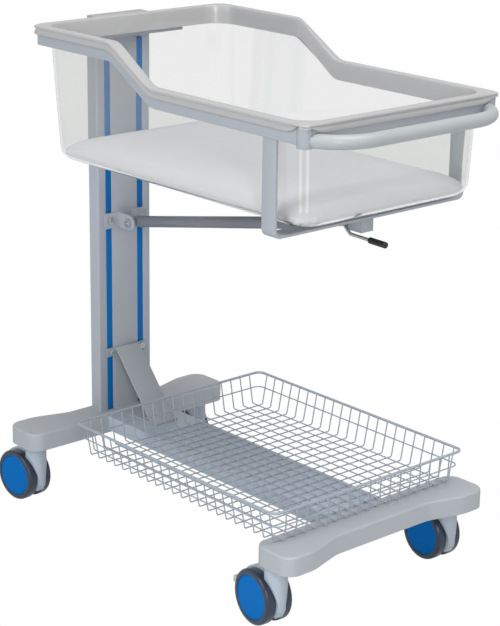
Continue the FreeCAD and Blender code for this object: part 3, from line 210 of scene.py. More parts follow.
rail_coat = coated("rail_coat", paint_chip(176, 187, 198), 0.42, grain_size=1100)
eased("base_rail", rail_coat, width=1.0)

# ---- Column and cap ------------------------------------------------------------------------
# A hollow aluminium extrusion with two T-slots down its front, coated light grey, with a thin
# moulded lid pressed on its top.

column_coat = coated("column_coat", paint_chip(173, 178, 187), 0.42, grain_size=1300)
eased("column", column_coat, width=0.5)
cap_plastic = coated("cap_plastic", paint_chip(165, 169, 172), 0.5)
eased("column_cap", cap_plastic, width=0.8)

# ---- Blue filler strips --------------------------------------------------------------------
# Six lengths of blue extruded plastic, pushed into the slots between the fittings.

strip_blue = coated("strip_blue", paint_chip(4, 108, 182), 0.45, drift=0.03, shine=0.12)
eased("slot_strips", strip_blue, width=0.4)

# ---- Gusset, strut bracket and hinge leaf ----------------------------------------------------
# Bent and welded steel sheet: a closed triangle between column and rail, two cheeks for the
# strut's pin, and the hinge's leaf and plate with their barrels. All have the frame's grey coat; the
# gusset's copy of it is painted darker, as painted shade.

frame_coat = coated("frame_coat", paint_chip(166, 172, 179), 0.42, grain_size=1100)
# The gusset's coat is a darker copy of the frame's grey: painted shade on the gusset.
gusset_painted_shade_coat = coated("gusset_painted_shade_coat", paint_chip(160, 166, 172), 0.45, grain_size=1100)
eased("gusset", gusset_painted_shade_coat, width=0.8)
for sheet_part in ("strut_bracket_near", "strut_bracket_far"):
    eased(sheet_part, frame_coat, width=0.8)
for hinge_part in ("column_hinge", "hinge_plate"):
    eased(hinge_part, frame_coat, width=0.5)

# ---- Screws, pins and stems ------------------------------------------------------------------
# Turned and rolled steel, zinc plated: socket and button-head screws, T-nuts, pivot pins, castor
# stems and axles. The plating is dull with fine turning marks.


def plated(name, tone, roughness):
    """Bright or plated steel with fine marks in its roughness."""
    material, shader, nodes, link = blank_material(name)
    place = nodes.new("ShaderNodeTexCoord")
    marks = nodes.new("ShaderNodeTexNoise")
    marks.inputs["Scale"].default_value = 400
    marks.inputs["Detail"].default_value = 4
    link(place.outputs["Object"], marks.inputs["Vector"])
    ramp = nodes.new("ShaderNodeMapRange")
    ramp.inputs["To Min"].default_value = roughness - 0.08
    ramp.inputs["To Max"].default_value = roughness + 0.1
    link(marks.outputs["Fac"], ramp.inputs["Value"])
    link(ramp.outputs["Result"], shader.inputs["Roughness"])
    shader.inputs["Base Color"].default_value = tone
    shader.inputs["Metallic"].default_value = 1
    return material


zinc = plated("zinc_plate", paint_chip(196, 198, 200), 0.32)
for steel_part in ("frame_screws", "slot_screws", "strut_pin", "hinge_pin", "castor_stems"):
    eased(steel_part, zinc, width=0.3)

# ---- Castors -----------------------------------------------------------------------------------
# Four twin-wheel castors. Each has a moulded nylon yoke between its wheels, and each wheel is a
# moulded disc with a blue face in a grey rubber tread. The two at the foot have a brake pedal.


def turned(name, profile, centre, axis, material, segments=96):
    """A closed solid of revolution from (radius, along) points about an axis."""
    turn = Vector((0, 0, 1)).rotation_difference(Vector(axis)).to_matrix()
    mesh = bmesh.new()
    rings = []
    for radius, along in profile:
        if radius == 0:
            rings.append([mesh.verts.new(Vector(centre) + turn @ Vector((0, 0, along)))])
            continue
        ring = []
        for i in range(segments):
            angle = 2 * pi * i / segments
            ring.append(mesh.verts.new(
                Vector(centre) + turn @ Vector((radius * cos(angle), radius * sin(angle), along))))
        rings.append(ring)
    for ring, following in zip(rings, rings[1:] + rings[:1]):
        for i in range(segments):
            corners = []
            for side, k in ((ring, i), (ring, i + 1), (following, i + 1), (following, i)):
                vert = side[k % len(side)]
                if vert not in corners:
                    corners.append(vert)
            if len(corners) > 2:
                mesh.faces.new(corners)
    bmesh.ops.recalc_face_normals(mesh, faces=mesh.faces)
    return finished(name, mesh, material)


def finished(name, mesh, material, crease=35):
    """Turns a bmesh into a named piece, shaded smooth up to its creases."""
    data = bpy.data.meshes.new(name)
    mesh.to_mesh(data)
    mesh.free()
    data.materials.append(material)
    data.shade_smooth()
    data.set_sharp_from_angle(angle=radians(crease))
    piece = bpy.data.objects.new(name, data)
    bpy.context.scene.collection.objects.link(piece)
    return piece


def rounded(corners, radii, steps=6):
    """Points along straight runs with an arc of its own radius in place of each corner."""
    corners = [Vector(corner) for corner in corners]
    out = []
    for i, (here, radius) in enumerate(zip(corners, radii)):
        if radius == 0:
            out.append(here)
            continue
        back = (corners[i - 1] - here).normalized()
        ahead = (corners[(i + 1) % len(corners)] - here).normalized()
        half = back.angle(ahead) / 2
        reach = radius / tan(half)
        start, end = here + back * reach, here + ahead * reach
        centre = here + (back + ahead).normalized() * (radius / sin(half))
        for k in range(steps + 1):
            out.append(centre + (start - centre).slerp(end - centre, k / steps) * radius)
    return out


yoke_nylon = coated("yoke_nylon", paint_chip(176, 188, 200), 0.38, grain_size=600, peel_depth=0.04)
tread_rubber = coated("tread_rubber", paint_chip(44, 56, 74), 0.22, grain_size=800, peel_depth=0.03,
                      shine=0.5)
disc_blue = coated("disc_blue", paint_chip(0, 108, 186), 0.4, drift=0.04, shine=0.05)
pedal_nylon = coated("pedal_nylon", paint_chip(196, 200, 203), 0.4)

wheel_radius = 50 * mm
disc_radius = 40 * mm
wheel_inner = 8.5 * mm
wheel_outer = 27 * mm
tread_round = 5 * mm
tread_inner_round = 2.5 * mm
bead_step = 0.5 * mm
bead_depth = 2 * mm
bead_round = 0.4 * mm
face_recess = 1.0 * mm
face_edge = 0.7 * mm
face_rise = 0.6 * mm
groove_radius = 37.5 * mm
groove_outer_slope = 0.6 * mm
groove_inner_slope = 0.8 * mm
groove_depth = 0.2 * mm
groove_inner_rise = 0.5 * mm
crown_radius = 20 * mm
crown_rise = 0.9 * mm
centre_rise = 1.0 * mm
hub_radius = 9 * mm
hub_depth = 13 * mm
flange_width = 3 * mm
joint_named = {joint["name"]: joint for joint in frame["joints"]}
castor_corners = [name[len("swivel_"):] for name in joint_named if name.startswith("swivel_")]
for castor in castor_corners:
    eased("yoke_" + castor, yoke_nylon, width=1.0)
    eased("axle_" + castor, zinc, width=0.3)
    if "brake_" + castor in cad_node:
        eased("brake_" + castor, pedal_nylon, width=0.6)
    for place in ("outer", "inner"):
        roll = joint_named["roll_%s_%s" % (castor, place)]
        towards_far = 1 if castor.startswith("far") == (place == "outer") else -1
        away = Vector(roll["axis"]) * towards_far
        label = castor + "_" + place
        tread = rounded(
            [(disc_radius, wheel_inner), (wheel_radius, wheel_inner), (wheel_radius, wheel_outer),
             (disc_radius + bead_step, wheel_outer), (disc_radius, wheel_outer - bead_depth)],
            [0, tread_inner_round, tread_round, bead_round, 0])
        tyre = turned("tread_" + label, tread, roll["pos_m"], away, tread_rubber)
        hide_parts("tyre_" + label)
        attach(tyre, "wheel_" + label)
        face_z = wheel_outer - face_recess
        face = [(0, wheel_inner + hub_depth), (hub_radius, wheel_inner + hub_depth),
                (hub_radius, wheel_inner), (disc_radius - flange_width, wheel_inner),
                (disc_radius, wheel_inner), (disc_radius, face_z),
                (disc_radius - face_edge, face_z + face_rise),
                (groove_radius + groove_outer_slope, face_z + face_rise),
                (groove_radius, face_z - groove_depth),
                (groove_radius - groove_inner_slope, face_z + groove_inner_rise),
                (crown_radius, face_z + crown_rise), (0, face_z + centre_rise)]
        disc = turned("face_" + label, face, roll["pos_m"], away, disc_blue)
        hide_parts("disc_" + label)
        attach(disc, "wheel_" + label)

# ---- Wire basket -------------------------------------------------------------------------------
# Drawn steel wire, cut, bent up at the sides and spot welded at every crossing, with a thicker
# wire round the rim. It is dipped in a light grey plastic coat and lies loose on the base.


def wire_row_tree():
    """Sweeps a round wire along a path and sets copies of it in a row."""
    tree = bpy.data.node_groups.new("wire_row", "GeometryNodeTree")
    sockets = [("Geometry", "NodeSocketGeometry"), ("Radius", "NodeSocketFloat"),
               ("Sides", "NodeSocketInt"), ("Count", "NodeSocketInt"),
               ("Step", "NodeSocketVector"), ("Material", "NodeSocketMaterial")]
    for label, kind in sockets:
        tree.interface.new_socket(label, in_out="INPUT", socket_type=kind)
    tree.interface.new_socket("Geometry", in_out="OUTPUT", socket_type="NodeSocketGeometry")
    nodes, link = tree.nodes, tree.links.new
    inner, outer = nodes.new("NodeGroupInput").outputs, nodes.new("NodeGroupOutput").inputs
    path = nodes.new("GeometryNodeMeshToCurve")
    ring = nodes.new("GeometryNodeCurvePrimitiveCircle")
    sweep = nodes.new("GeometryNodeCurveToMesh")
    sweep.inputs["Fill Caps"].default_value = True
    row = nodes.new("GeometryNodeMeshLine")
    copies = nodes.new("GeometryNodeInstanceOnPoints")
    real = nodes.new("GeometryNodeRealizeInstances")
    smooth = nodes.new("GeometryNodeSetShadeSmooth")
    coat = nodes.new("GeometryNodeSetMaterial")
    link(inner["Geometry"], path.inputs["Mesh"])
    link(path.outputs["Curve"], sweep.inputs["Curve"])
    link(inner["Sides"], ring.inputs["Resolution"])
    link(inner["Radius"], ring.inputs["Radius"])
    link(ring.outputs["Curve"], sweep.inputs["Profile Curve"])
    link(inner["Count"], row.inputs["Count"])
    link(inner["Step"], row.inputs["Offset"])
    link(row.outputs["Mesh"], copies.inputs["Points"])
    link(sweep.outputs["Mesh"], copies.inputs["Instance"])
    link(copies.outputs["Instances"], real.inputs["Geometry"])
    link(real.outputs["Geometry"], smooth.inputs["Geometry"])
    link(smooth.outputs["Geometry"], coat.inputs["Geometry"])
    link(inner["Material"], coat.inputs["Material"])
    link(coat.outputs["Geometry"], outer["Geometry"])
    return tree


WIRE_ROW = wire_row_tree()


def applied(name, carrier, tree, **values):
    """Runs a Geometry Nodes tree on a carrier mesh and returns its result as a plain mesh piece."""
    modifier = carrier.modifiers.new("build", "NODES")
    modifier.node_group = tree
    for label, value in values.items():
        modifier[socket_id(tree, label.replace("_", " "))] = value
    shape = bpy.data.meshes.new_from_object(carrier.evaluated_get(bpy.context.evaluated_depsgraph_get()))
    bpy.data.objects.remove(carrier)
    shape.name = name
    piece = bpy.data.objects.new(name, shape)
    bpy.context.scene.collection.objects.link(piece)
    return piece


def wires(name, path, radius, material, count=1, step=(0, 0, 0), closed=False, sides=10):
    """One wire along a path, or a row of the same wire."""
    line = bpy.data.meshes.new(name + "_path")
    edges = [(i, i + 1) for i in range(len(path) - 1)] + ([(len(path) - 1, 0)] if closed else [])
    line.from_pydata([tuple(p) for p in path], edges, [])
    carrier = bpy.data.objects.new(name + "_carrier", line)
    bpy.context.scene.collection.objects.link(carrier)
    return applied(name, carrier, WIRE_ROW, Radius=radius, Sides=sides, Count=count,
                   Step=tuple(step), Material=material)


wire_coat = coated("wire_coat", paint_chip(161, 169, 179), 0.4, grain_size=1500)
mesh_wire = 1.25 * mm
rim_wire = 2.5 * mm
weld_bite = 0.3 * mm
cross_pitch = 24.3 * mm
long_pitch = 24.8 * mm
end_run_in = 12 * mm
side_run_in = 15.6 * mm
floor_bend = 4 * mm
rim_bend = 14 * mm
mid_height = 192.5 * mm
floor_low, floor_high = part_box("basket_floor")
rim_low, rim_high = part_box("basket_rim")
cross_z, long_z = floor_low.z + mesh_wire, floor_high.z - mesh_wire
rim_z = (rim_low.z + rim_high.z) / 2
rim_head_x, rim_foot_x = rim_low.x + rim_wire, rim_high.x - rim_wire
rim_half = rim_high.y - rim_wire
first_x, last_x = floor_low.x + mesh_wire, floor_high.x - mesh_wire
last_y = floor_high.y - mesh_wire
floor_head_x, floor_foot_x = first_x - end_run_in, last_x + end_run_in
floor_half = last_y + side_run_in
inside_rim = rim_wire + mesh_wire - weld_bite
top_y = rim_half - inside_rim
cross_count = round((last_x - first_x) / cross_pitch) + 1
long_count = round(2 * last_y / long_pitch) + 1
cross_path = rounded(
    [(first_x, -top_y, rim_z), (first_x, -floor_half, cross_z), (first_x, floor_half, cross_z),
     (first_x, top_y, rim_z)], [0, floor_bend, floor_bend, 0])
cross_wires = wires("basket_cross_wires", cross_path, mesh_wire, wire_coat, count=cross_count,
                    step=((last_x - first_x) / (cross_count - 1), 0, 0))
top_head_x, top_foot_x = rim_head_x + inside_rim, rim_foot_x - inside_rim
long_path = rounded(
    [(top_head_x, -last_y, rim_z), (floor_head_x, -last_y, long_z), (floor_foot_x, -last_y, long_z),
     (top_foot_x, -last_y, rim_z)], [0, floor_bend, floor_bend, 0])
long_wires = wires("basket_long_wires", long_path, mesh_wire, wire_coat, count=long_count,
                   step=(0, 2 * last_y / (long_count - 1), 0))


def hoop(name, head_x, foot_x, half, height, bend, radius):
    """A closed rectangular ring of wire with rounded corners."""
    corners = [(head_x, -half, height), (foot_x, -half, height),
               (foot_x, half, height), (head_x, half, height)]
    return wires(name, rounded(corners, [bend] * 4, steps=8), radius, wire_coat, closed=True)


rim_hoop = hoop("basket_rim_wire", rim_head_x, rim_foot_x, rim_half, rim_z, rim_bend, rim_wire)
side_share = (mid_height - cross_z) / (rim_z - cross_z)
end_share = (mid_height - long_z) / (rim_z - long_z)
outside = 2 * mesh_wire - weld_bite
mid_hoop = hoop("basket_mid_wire",
                floor_head_x + (top_head_x - floor_head_x) * end_share - outside,
                floor_foot_x + (top_foot_x - floor_foot_x) * end_share + outside,
                floor_half + (top_y - floor_half) * side_share + outside,
                mid_height, rim_bend, mesh_wire)
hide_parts("basket_wall_near", "basket_wall_far")
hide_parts("basket_wall_head", "basket_wall_foot", "basket_floor")
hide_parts("basket_rim")
for basket_part in (cross_wires, long_wires, rim_hoop, mid_hoop):
    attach(basket_part, "base")

# ---- Gas strut -----------------------------------------------------------------------------------
# A lockable gas spring under the tub: a drawn steel tube in grey enamel with an eye at its foot, and
# a hard-chromed rod whose cross barrel sits in the release block.

strut_enamel = coated("strut_enamel", paint_chip(122, 126, 134), 0.3, grain_size=1400)
rod_chrome = plated("rod_chrome", paint_chip(205, 206, 208), 0.14)
eased("strut_cylinder", strut_enamel, width=0.6)
eased("strut_rod", rod_chrome, width=0.3)

# ---- Basin frame -----------------------------------------------------------------------------------
# Flat steel bar is bent round the tub as a band, with a short round post welded in at each foot
# corner and a U of the same bar under the tub. The push handle is a bent round tube.

for frame_part in ("rim_frame", "corner_posts", "cross_strap", "release_block"):
    eased(frame_part, frame_coat, width=1.0)
handle_coat = coated("handle_coat", paint_chip(170, 176, 178), 0.36, grain_size=1100)
handle_low, handle_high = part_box("push_handle")
handle_radius = (handle_high.z - handle_low.z) / 2
handle_bend = 90 * mm
handle_z = (handle_low.z + handle_high.z) / 2
handle_x = handle_high.x - handle_radius
handle_half = 208 * mm
handle_lead = 1 * mm
handle_weld_reach = 2 * mm
bend_start_x = handle_x - handle_bend - handle_lead
handle_path = rounded(
    [(bend_start_x, -handle_half, handle_z), (handle_x, -handle_half, handle_z),
     (handle_x, handle_half, handle_z), (bend_start_x, handle_half, handle_z)],
    [0, handle_bend, handle_bend, 0], steps=24)
push_handle = wires("push_tube", handle_path, handle_radius, handle_coat, sides=40)
band_foot_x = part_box("rim_frame")[1].x
tube = bmesh.new()
tube.from_mesh(push_handle.data)
bmesh.ops.bisect_plane(tube, geom=tube.verts[:] + tube.edges[:] + tube.faces[:],
                       plane_co=(band_foot_x - handle_weld_reach, 0, 0), plane_no=(1, 0, 0),
                       clear_inner=True)
bmesh.ops.holes_fill(tube, edges=[edge for edge in tube.edges if edge.is_boundary])
tube.to_mesh(push_handle.data)
tube.free()
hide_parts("push_handle")
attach(push_handle, "basin")

# ---- Clear tub -----------------------------------------------------------------------------------
# One vacuum-formed polycarbonate moulding: a tapered box, higher round the head, whose lip folds
# out and down over the band. The walls are clear, and the folded lip looks greyer where it is thick.


def plan_ring(head_x, foot_x, half, head_radius, foot_radius,
              side_steps=110, corner_steps=12, end_steps=60):
    """Points round a rectangle seen from above, always the same number and closer near its corners."""
    ring = []

    def arc(centre_x, centre_y, radius, start):
        for k in range(corner_steps + 1):
            angle = start + pi / 2 * k / corner_steps
            ring.append(Vector((centre_x + radius * cos(angle), centre_y + radius * sin(angle))))

    def run(start, end, steps):
        for k in range(1, steps):
            ring.append(start.lerp(end, 0.5 - 0.5 * cos(pi * k / steps)))

    near, far = -half, half
    arc(head_x + head_radius, near + head_radius, head_radius, pi)
    run(Vector((head_x + head_radius, near)), Vector((foot_x - foot_radius, near)), side_steps)
    arc(foot_x - foot_radius, near + foot_radius, foot_radius, 1.5 * pi)
    run(Vector((foot_x, near + foot_radius)), Vector((foot_x, far - foot_radius)), end_steps)
    arc(foot_x - foot_radius, far - foot_radius, foot_radius, 0)
    run(Vector((foot_x - foot_radius, far)), Vector((head_x + head_radius, far)), side_steps)
    arc(head_x + head_radius, far - head_radius, head_radius, pi / 2)
    run(Vector((head_x, far - head_radius)), Vector((head_x, near + head_radius)), end_steps)
    return ring


tub_low, tub_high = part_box("tub")
band_low, band_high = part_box("rim_frame")
rim_top_head = tub_high.z
side_rise = 36 * mm
rim_top_side = band_low.z + side_rise
fall_start = band_low.x + 226 * mm
fall_end = band_low.x + 336 * mm
fall_blend = 12 * mm


def rim_top(x):
    """Height of the lip's top at a place along the tub, with rounded bends in the fall."""
    slope = (rim_top_side - rim_top_head) / (fall_end - fall_start)
    along = x - fall_start
    if along > (fall_end - fall_start) / 2:
        along = fall_end - x
        level, slope = rim_top_side, -slope
    else:
        level = rim_top_head
    if along <= -fall_blend:
        return level
    if along >= fall_blend:
        return level + slope * along
    return level + slope * (along + fall_blend) ** 2 / (4 * fall_blend)


def skin_over(rings, closed=False):
    """A mesh whose faces join rings of the same number of points, and its vertices ring by ring."""
    mesh = bmesh.new()
    verts = [[mesh.verts.new(p) for p in ring] for ring in rings]
    count = len(verts[0])
    for ring, following in zip(verts, verts[1:] + verts[:1] if closed else verts[1:]):
        for i in range(count):
            mesh.faces.new((ring[i], ring[(i + 1) % count], following[(i + 1) % count], following[i]))
    return mesh, verts


wall = 3.5 * mm
floor_z = tub_low.z
taper_height = 255 * mm
bottom_head, bottom_foot = band_low.x + 21 * mm, band_high.x - 14 * mm
bottom_half = 204 * mm
top_head, top_foot = band_low.x + 5.5 * mm, band_high.x - 6 * mm
top_half = 214.5 * mm
corner_round = 50 * mm
floor_round = 25 * mm


def wall_ring(inset, lift, drop=None):
    """One ring of the tapered wall, drawn in by an inset, at a lift over the floor or below the rim."""
    low = plan_ring(bottom_head + inset, bottom_foot - inset, bottom_half - inset,
                    corner_round - inset, corner_round - inset)
    high = plan_ring(top_head + inset, top_foot - inset, top_half - inset,
                     corner_round - inset, corner_round - inset)
    ring = []
    for a, b in zip(low, high):
        z = floor_z + lift
        if drop is not None:
            z = rim_top(a.x) - drop
        share = (z - floor_z) / taper_height
        place = a.lerp(b, share)
        ring.append(Vector((place.x, place.y, z)))
    return ring


def wall_rings(inset, base_lift, radius, top_drop, steps=8, straight_steps=12):
    """Rings up one side of the wall: the floor's rounded edge, then the straight wall."""
    rings = []
    for k in range(steps + 1):
        angle = pi / 2 * k / steps
        rings.append(wall_ring(inset + radius * (1 - sin(angle)), base_lift + radius * (1 - cos(angle))))
    start = rings[-1]
    end = wall_ring(inset, 0, drop=top_drop)
    for k in range(1, straight_steps + 1):
        rings.append([a.lerp(b, k / straight_steps) for a, b in zip(start, end)])
    return rings


lip_sheet = 3.5 * mm
outer_top_step = 1 * mm
outer_rings = wall_rings(0, 0, floor_round, lip_sheet + outer_top_step)
inner_rings = wall_rings(wall, wall, floor_round - wall, lip_sheet)
mesh, verts = skin_over(outer_rings + inner_rings[::-1])
mesh.faces.new(verts[0][::-1])
mesh.faces.new(verts[-1])
bmesh.ops.recalc_face_normals(mesh, faces=mesh.faces)


def clear_material(name, tint, roughness, cloud):
    """Clear plastic that lets light through to what is inside it."""
    material, shader, nodes, link = blank_material(name)
    shader.inputs["Base Color"].default_value = tint
    shader.inputs["Roughness"].default_value = roughness
    shader.inputs["IOR"].default_value = 1.42
    shader.inputs["Transmission Weight"].default_value = 1 - cloud
    skin = nodes.new("ShaderNodeTexNoise")
    skin.inputs["Scale"].default_value = 18
    place = nodes.new("ShaderNodeTexCoord")
    bump = nodes.new("ShaderNodeBump")
    bump.inputs["Strength"].default_value = 0.15
    bump.inputs["Distance"].default_value = 0.3 * mm
    link(place.outputs["Object"], skin.inputs["Vector"])
    link(skin.outputs["Fac"], bump.inputs["Height"])
    link(bump.outputs["Normal"], shader.inputs["Normal"])
    rays = nodes.new("ShaderNodeLightPath")
    either = nodes.new("ShaderNodeMath")
    either.operation = "MAXIMUM"
    through = nodes.new("ShaderNodeBsdfTransparent")
    mix = nodes.new("ShaderNodeMixShader")
    link(rays.outputs["Is Shadow Ray"], either.inputs[0])
    link(rays.outputs["Is Diffuse Ray"], either.inputs[1])
    passed = nodes.new("ShaderNodeMath")
    passed.operation = "MULTIPLY"
    passed.inputs[1].default_value = 1 - cloud
    link(either.outputs[0], passed.inputs[0])
    link(passed.outputs[0], mix.inputs[0])
    link(shader.outputs[0], mix.inputs[1])
    link(through.outputs[0], mix.inputs[2])
    link(mix.outputs[0], nodes["Material Output"].inputs["Surface"])
    return material


clear_wall = clear_material("clear_wall", paint_chip(236, 237, 236), 0.02, 0.0)
tub = finished("tub_wall", mesh, clear_wall, crease=40)

post_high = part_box("corner_posts")[1]
post_radius = 12.5 * mm
post_x = post_high.x - post_radius
post_y = post_high.y - post_radius
skirt_top = 4.4 * mm
notch_start = 15 * mm
notch_run = 20 * mm
band_head_radius = 16 * mm
band_foot_radius = 10 * mm
lip_overhang = 4 * mm


def lip_ring(drop, share):
    """One ring of the lip, a share of the way from the tub's wall to its skirt, a drop below the rim.

    The skirt is cut away in a curve round each corner post, and the flange goes on over the post.
    """
    wall_inner = wall_ring(wall, 0, drop=drop)
    outer = plan_ring(band_low.x - lip_overhang, band_high.x + lip_overhang, band_high.y + lip_overhang,
                      band_head_radius + lip_overhang, band_foot_radius + lip_overhang)
    ring = []
    for a, b in zip(wall_inner, outer):
        x = a.x + (b.x - a.x) * share
        y = a.y + (b.y - a.y) * share
        from_post = Vector((x - post_x, abs(y) - post_y)).length
        open_share = min(max((from_post - notch_start) / notch_run, 0), 1)
        kept = (1 - (1 - open_share) ** 2) ** 0.5
        here = drop if drop < skirt_top else skirt_top + (drop - skirt_top) * kept
        ring.append(Vector((x, y, rim_top(b.x) - here)))
    return ring


# Each point is a share of the way out and a drop in millimetres: up the wall and over the flange,
# round the bead and its groove, down the skirt, and back inside it.
lip_inside = [(0.02, 35), (0.02, 14), (0.01, 4), (0.04, 1.6), (0.1, 0.4)]
lip_flange = [(0.2, 0), (0.62, 0.2), (0.82, 0.4), (0.95, 1.1)]
lip_bead = [(1.04, 2.3), (1.07, 3.9), (1.04, 5.4), (0.98, 6.6), (0.95, 7.7), (0.96, 8.8), (1.01, 10)]
lip_skirt = [(1.04, 11.6), (1.05, 15.5), (1.03, 16.7), (0.98, 17), (0.9, 16.6)]
lip_underside = [(0.84, 15), (0.84, 6), (0.8, 4.4), (0.3, 4.4), (0.24, 5.5), (0.22, 35)]
lip_profile = lip_inside + lip_flange + lip_bead + lip_skirt + lip_underside
lip_rings = [lip_ring(drop * mm, share) for share, drop in lip_profile]
mesh, verts = skin_over(lip_rings, closed=True)
bmesh.ops.recalc_face_normals(mesh, faces=mesh.faces)
lip_plastic = clear_material("lip_plastic", paint_chip(187, 187, 188), 0.2, 0.85)
lip = finished("tub_lip", mesh, lip_plastic, crease=50)
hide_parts("tub")
for tub_part in (tub, lip):
    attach(tub_part, "basin")

# ---- Mattress ----------------------------------------------------------------------------------------
# A soft foam pad in a white coated cover, gathered a little at its corners. It lies loose on the
# tub's floor, so its underside is flat and its upper edges fall away softly.

cover_white = coated("cover_white", paint_chip(209, 209, 211), 0.6, grain_size=260, drift=0.03,
                     peel_depth=0.12, shine=0.3)
pad = bpy.data.objects.new("mattress_cover", cad_node["mattress"].data.copy())
bpy.context.scene.collection.objects.link(pad)
pad_low, pad_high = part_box("mattress")
pad.data.materials.clear()
pad.data.materials.append(cover_white)


def baked(piece):
    """The piece's mesh with its modifiers applied, and no modifier left on it."""
    shape = bpy.data.meshes.new_from_object(piece.evaluated_get(bpy.context.evaluated_depsgraph_get()))
    piece.modifiers.clear()
    piece.data = shape


pad_merge = pad.modifiers.new("merge", "WELD")
pad_merge.merge_threshold = 0.05 * mm
pad_voxels = pad.modifiers.new("voxels", "REMESH")
pad_voxels.mode = "VOXEL"
pad_voxels.voxel_size = 6 * mm
baked(pad)
pad_centre = (pad_low + pad_high) / 2
pad_swell_limit = 6 * mm
pad_crown_limit = 3 * mm
pad_rest_height = 3 * mm
cloth_frames = 20
start_places = [vert.co.copy() for vert in pad.data.vertices]
cloth = pad.modifiers.new("cover", "CLOTH")
cloth.settings.quality = 6
cloth.settings.mass = 0.3
cloth.settings.tension_stiffness = 20
cloth.settings.compression_stiffness = 20
cloth.settings.bending_stiffness = 0.6
cloth.settings.use_pressure = True
cloth.settings.uniform_pressure_force = 4
cloth.settings.effector_weights.gravity = 0
cloth.collision_settings.use_collision = False
cloth.point_cache.frame_start = 1
cloth.point_cache.frame_end = cloth_frames
for frame_number in range(1, cloth_frames + 1):
    bpy.context.scene.frame_set(frame_number)
baked(pad)
bpy.context.scene.frame_set(1)
for vert, start in zip(pad.data.vertices, start_places):
    moved = vert.co - start
    if moved.length > pad_swell_limit:
        moved *= pad_swell_limit / moved.length
    moved.z = min(moved.z, pad_crown_limit)
    vert.co = start + moved
    if start.z < pad_low.z + pad_rest_height:
        vert.co.z = start.z
    vert.co.z = max(vert.co.z, pad_low.z)
pad_base_bulge = 3 * mm
pad_side_bulge = 6 * mm
pad_bulge_place = 0.65
pad_edge_run = 75 * mm
pad_edge_fall = 13 * mm
for vert in pad.data.vertices:
    share = min(max((vert.co.z - pad_low.z) / (pad_high.z - pad_low.z), 0), 1)
    flat = 1
    for axis in (0, 1):
        half_size = (pad_high[axis] - pad_low[axis]) / 2
        outward = (vert.co[axis] - pad_centre[axis]) / half_size
        inside = min(max(half_size * (1 - abs(outward)) / pad_edge_run, 0), 1)
        flat *= 1 - (1 - inside) ** 2
        vert.co[axis] += outward * (pad_base_bulge + pad_side_bulge * sin(pi * share ** pad_bulge_place))
    vert.co.z -= pad_edge_fall * (1 - flat) * share
pad_smooth = pad.modifiers.new("finer", "SUBSURF")
pad_smooth.levels = 1
pad_smooth.render_levels = 1
baked(pad)
pleat_depth = 0.7 * mm
pleat_reach = 55 * mm
fine_pleats = 25
broad_pleats = 17
broad_share = 0.6
broad_shift = 1
pleat_start = (pad_high - pad_centre) - Vector((pleat_reach, pleat_reach, 0))
for vert in pad.data.vertices:
    away_x = abs(vert.co.x - pad_centre.x) - pleat_start.x
    away_y = abs(vert.co.y - pad_centre.y) - pleat_start.y
    if away_x > 0 and away_y > 0 and vert.co.z > pad_low.z + pad_rest_height:
        around = atan2(away_y, away_x)
        gathered = min((away_x ** 2 + away_y ** 2) / pleat_reach ** 2, 1) * sin(2 * around)
        uneven = cos(fine_pleats * around) + broad_share * cos(broad_pleats * around + broad_shift)
        vert.co += vert.normal * (pleat_depth * gathered * uneven)
pad.data.shade_smooth()
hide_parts("mattress")
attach(pad, "basin")

# ---- Release lever -----------------------------------------------------------------------------------
# A bent steel rod that presses the strut's valve, with a black moulded grip pushed on its end.

lever_steel = plated("lever_steel", paint_chip(186, 188, 190), 0.3)
grip_black = coated("grip_black", paint_chip(26, 27, 30), 0.42, grain_size=700, peel_depth=0.05)
eased("release_lever", lever_steel, width=0)
eased("lever_grip", grip_black, width=0)

# ---- Studio --------------------------------------------------------------------------------------------
# A white floor under a white sky, which show as pure white behind the object. A tall soft key stands
# on the near side, a narrow one by the camera and one overhead, and two low strips show in the tub's
# near corner.

floor_half_size = 30
floor_mesh = bmesh.new()
for x, y in ((-1, -1), (1, -1), (1, 1), (-1, 1)):
    floor_mesh.verts.new((x * floor_half_size, y * floor_half_size, 0))
floor_mesh.faces.new(floor_mesh.verts)


def seen_directly(nodes, link, reflected_share=0.5):
    """1 for what the camera sees, also through clear plastic, a share in reflections, 0 for soft light."""
    rays = nodes.new("ShaderNodeLightPath")
    either = nodes.new("ShaderNodeMath")
    either.operation = "MAXIMUM"
    link(rays.outputs["Is Camera Ray"], either.inputs[0])
    link(rays.outputs["Is Transmission Ray"], either.inputs[1])
    reflected = nodes.new("ShaderNodeMath")
    reflected.operation = "MULTIPLY"
    reflected.inputs[1].default_value = reflected_share
    link(rays.outputs["Is Glossy Ray"], reflected.inputs[0])
    seen = nodes.new("ShaderNodeMath")
    seen.operation = "MAXIMUM"
    link(either.outputs[0], seen.inputs[0])
    link(reflected.outputs[0], seen.inputs[1])
    return seen.outputs[0]


floor_paint, floor_shader, floor_nodes, floor_link = blank_material("studio_floor")
floor_shader.inputs["Base Color"].default_value = paint_chip(205, 208, 213)
floor_shader.inputs["Roughness"].default_value = 0.9
floor_glow = floor_nodes.new("ShaderNodeEmission")
floor_mix = floor_nodes.new("ShaderNodeMixShader")
floor_link(seen_directly(floor_nodes, floor_link), floor_mix.inputs[0])
floor_link(floor_shader.outputs[0], floor_mix.inputs[1])
floor_link(floor_glow.outputs[0], floor_mix.inputs[2])
floor_link(floor_mix.outputs[0], floor_nodes["Material Output"].inputs["Surface"])
floor = finished("studio_floor", floor_mesh, floor_paint)

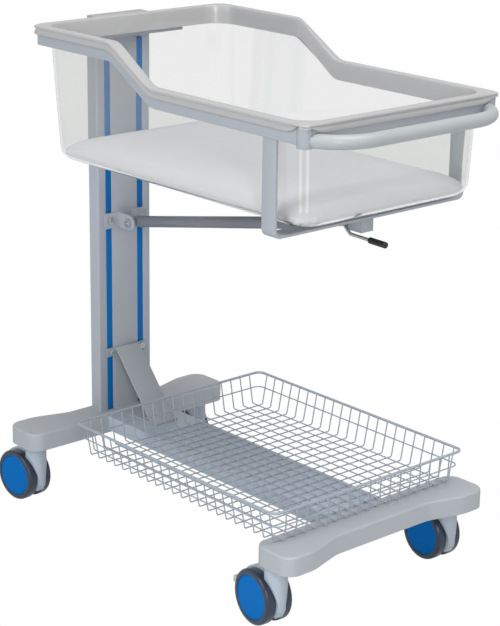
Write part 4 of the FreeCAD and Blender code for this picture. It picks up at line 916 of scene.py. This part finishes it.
world = bpy.data.worlds.new("studio")
bpy.context.scene.world = world
world.use_nodes = True
sky = world.node_tree.nodes["Background"]
sky_light = world.node_tree.nodes.new("ShaderNodeMapRange")
sky_light.inputs["To Min"].default_value = 0.42
sky_light.inputs["To Max"].default_value = 1.0
world.node_tree.links.new(seen_directly(world.node_tree.nodes, world.node_tree.links.new),
                          sky_light.inputs["Value"])
world.node_tree.links.new(sky_light.outputs["Result"], sky.inputs["Strength"])
sky.inputs["Color"].default_value = (1, 1, 1, 1)


def soft_light(name, place, target, width, height, watts, tone):
    """A rectangular area light aimed at a point."""
    data = bpy.data.lights.new(name, "AREA")
    data.shape = "RECTANGLE"
    data.size = width
    data.size_y = height
    data.energy = watts
    data.color = tone
    lamp = bpy.data.objects.new(name, data)
    lamp.location = place
    lamp.rotation_euler = (Vector(target) - Vector(place)).to_track_quat("-Z", "Y").to_euler()
    bpy.context.scene.collection.objects.link(lamp)


middle = (0, 0, 0.6)
below_tub_corner = (0.38, -0.19, 0.3)
cool_white = (0.97, 0.98, 1.0)
warm_white = (1.0, 0.98, 0.95)
warmer_white = (1.0, 0.93, 0.82)
plain_white = (1.0, 1.0, 1.0)
soft_light("key_light", (0.0, -3.3, 2.3), middle, width=1.6, height=2.4, watts=46, tone=cool_white)
soft_light("camera_light", (3.6, -2.4, 1.9), middle, width=0.5, height=1.8, watts=57, tone=warm_white)
soft_light("near_strip", (0.97, -1.57, 0.3), below_tub_corner, width=0.3, height=0.5, watts=1.1,
           tone=warmer_white)
soft_light("foot_strip", (1.53, -1.15, 0.3), below_tub_corner, width=0.3, height=0.5, watts=1.1,
           tone=warm_white)
soft_light("top_light", (1.1, 0.2, 3.5), middle, width=2.0, height=2.0, watts=58, tone=plain_white)

camera_place = Vector((2.4981, -2.1835, 1.4900))
camera_azimuth = radians(48.54)
camera_elevation = radians(17.58)
camera_roll = radians(0.76)
camera_lens = 109.21
camera_data = bpy.data.cameras.new("camera")
camera_data.lens = camera_lens
camera_data.sensor_width = 36
camera_data.clip_end = 200
camera = bpy.data.objects.new("camera", camera_data)
bpy.context.scene.collection.objects.link(camera)
ahead = Vector((-sin(camera_azimuth) * cos(camera_elevation),
                cos(camera_azimuth) * cos(camera_elevation), -sin(camera_elevation)))
level = Vector((cos(camera_azimuth), sin(camera_azimuth), 0))
above = level.cross(ahead)
right = level * cos(camera_roll) + above * sin(camera_roll)
upward = above * cos(camera_roll) - level * sin(camera_roll)
turn = Matrix((right, upward, -ahead)).transposed().to_4x4()
camera.matrix_world = Matrix.Translation(camera_place) @ turn
bpy.context.scene.camera = camera
bpy.context.scene.view_settings.view_transform = "Standard"
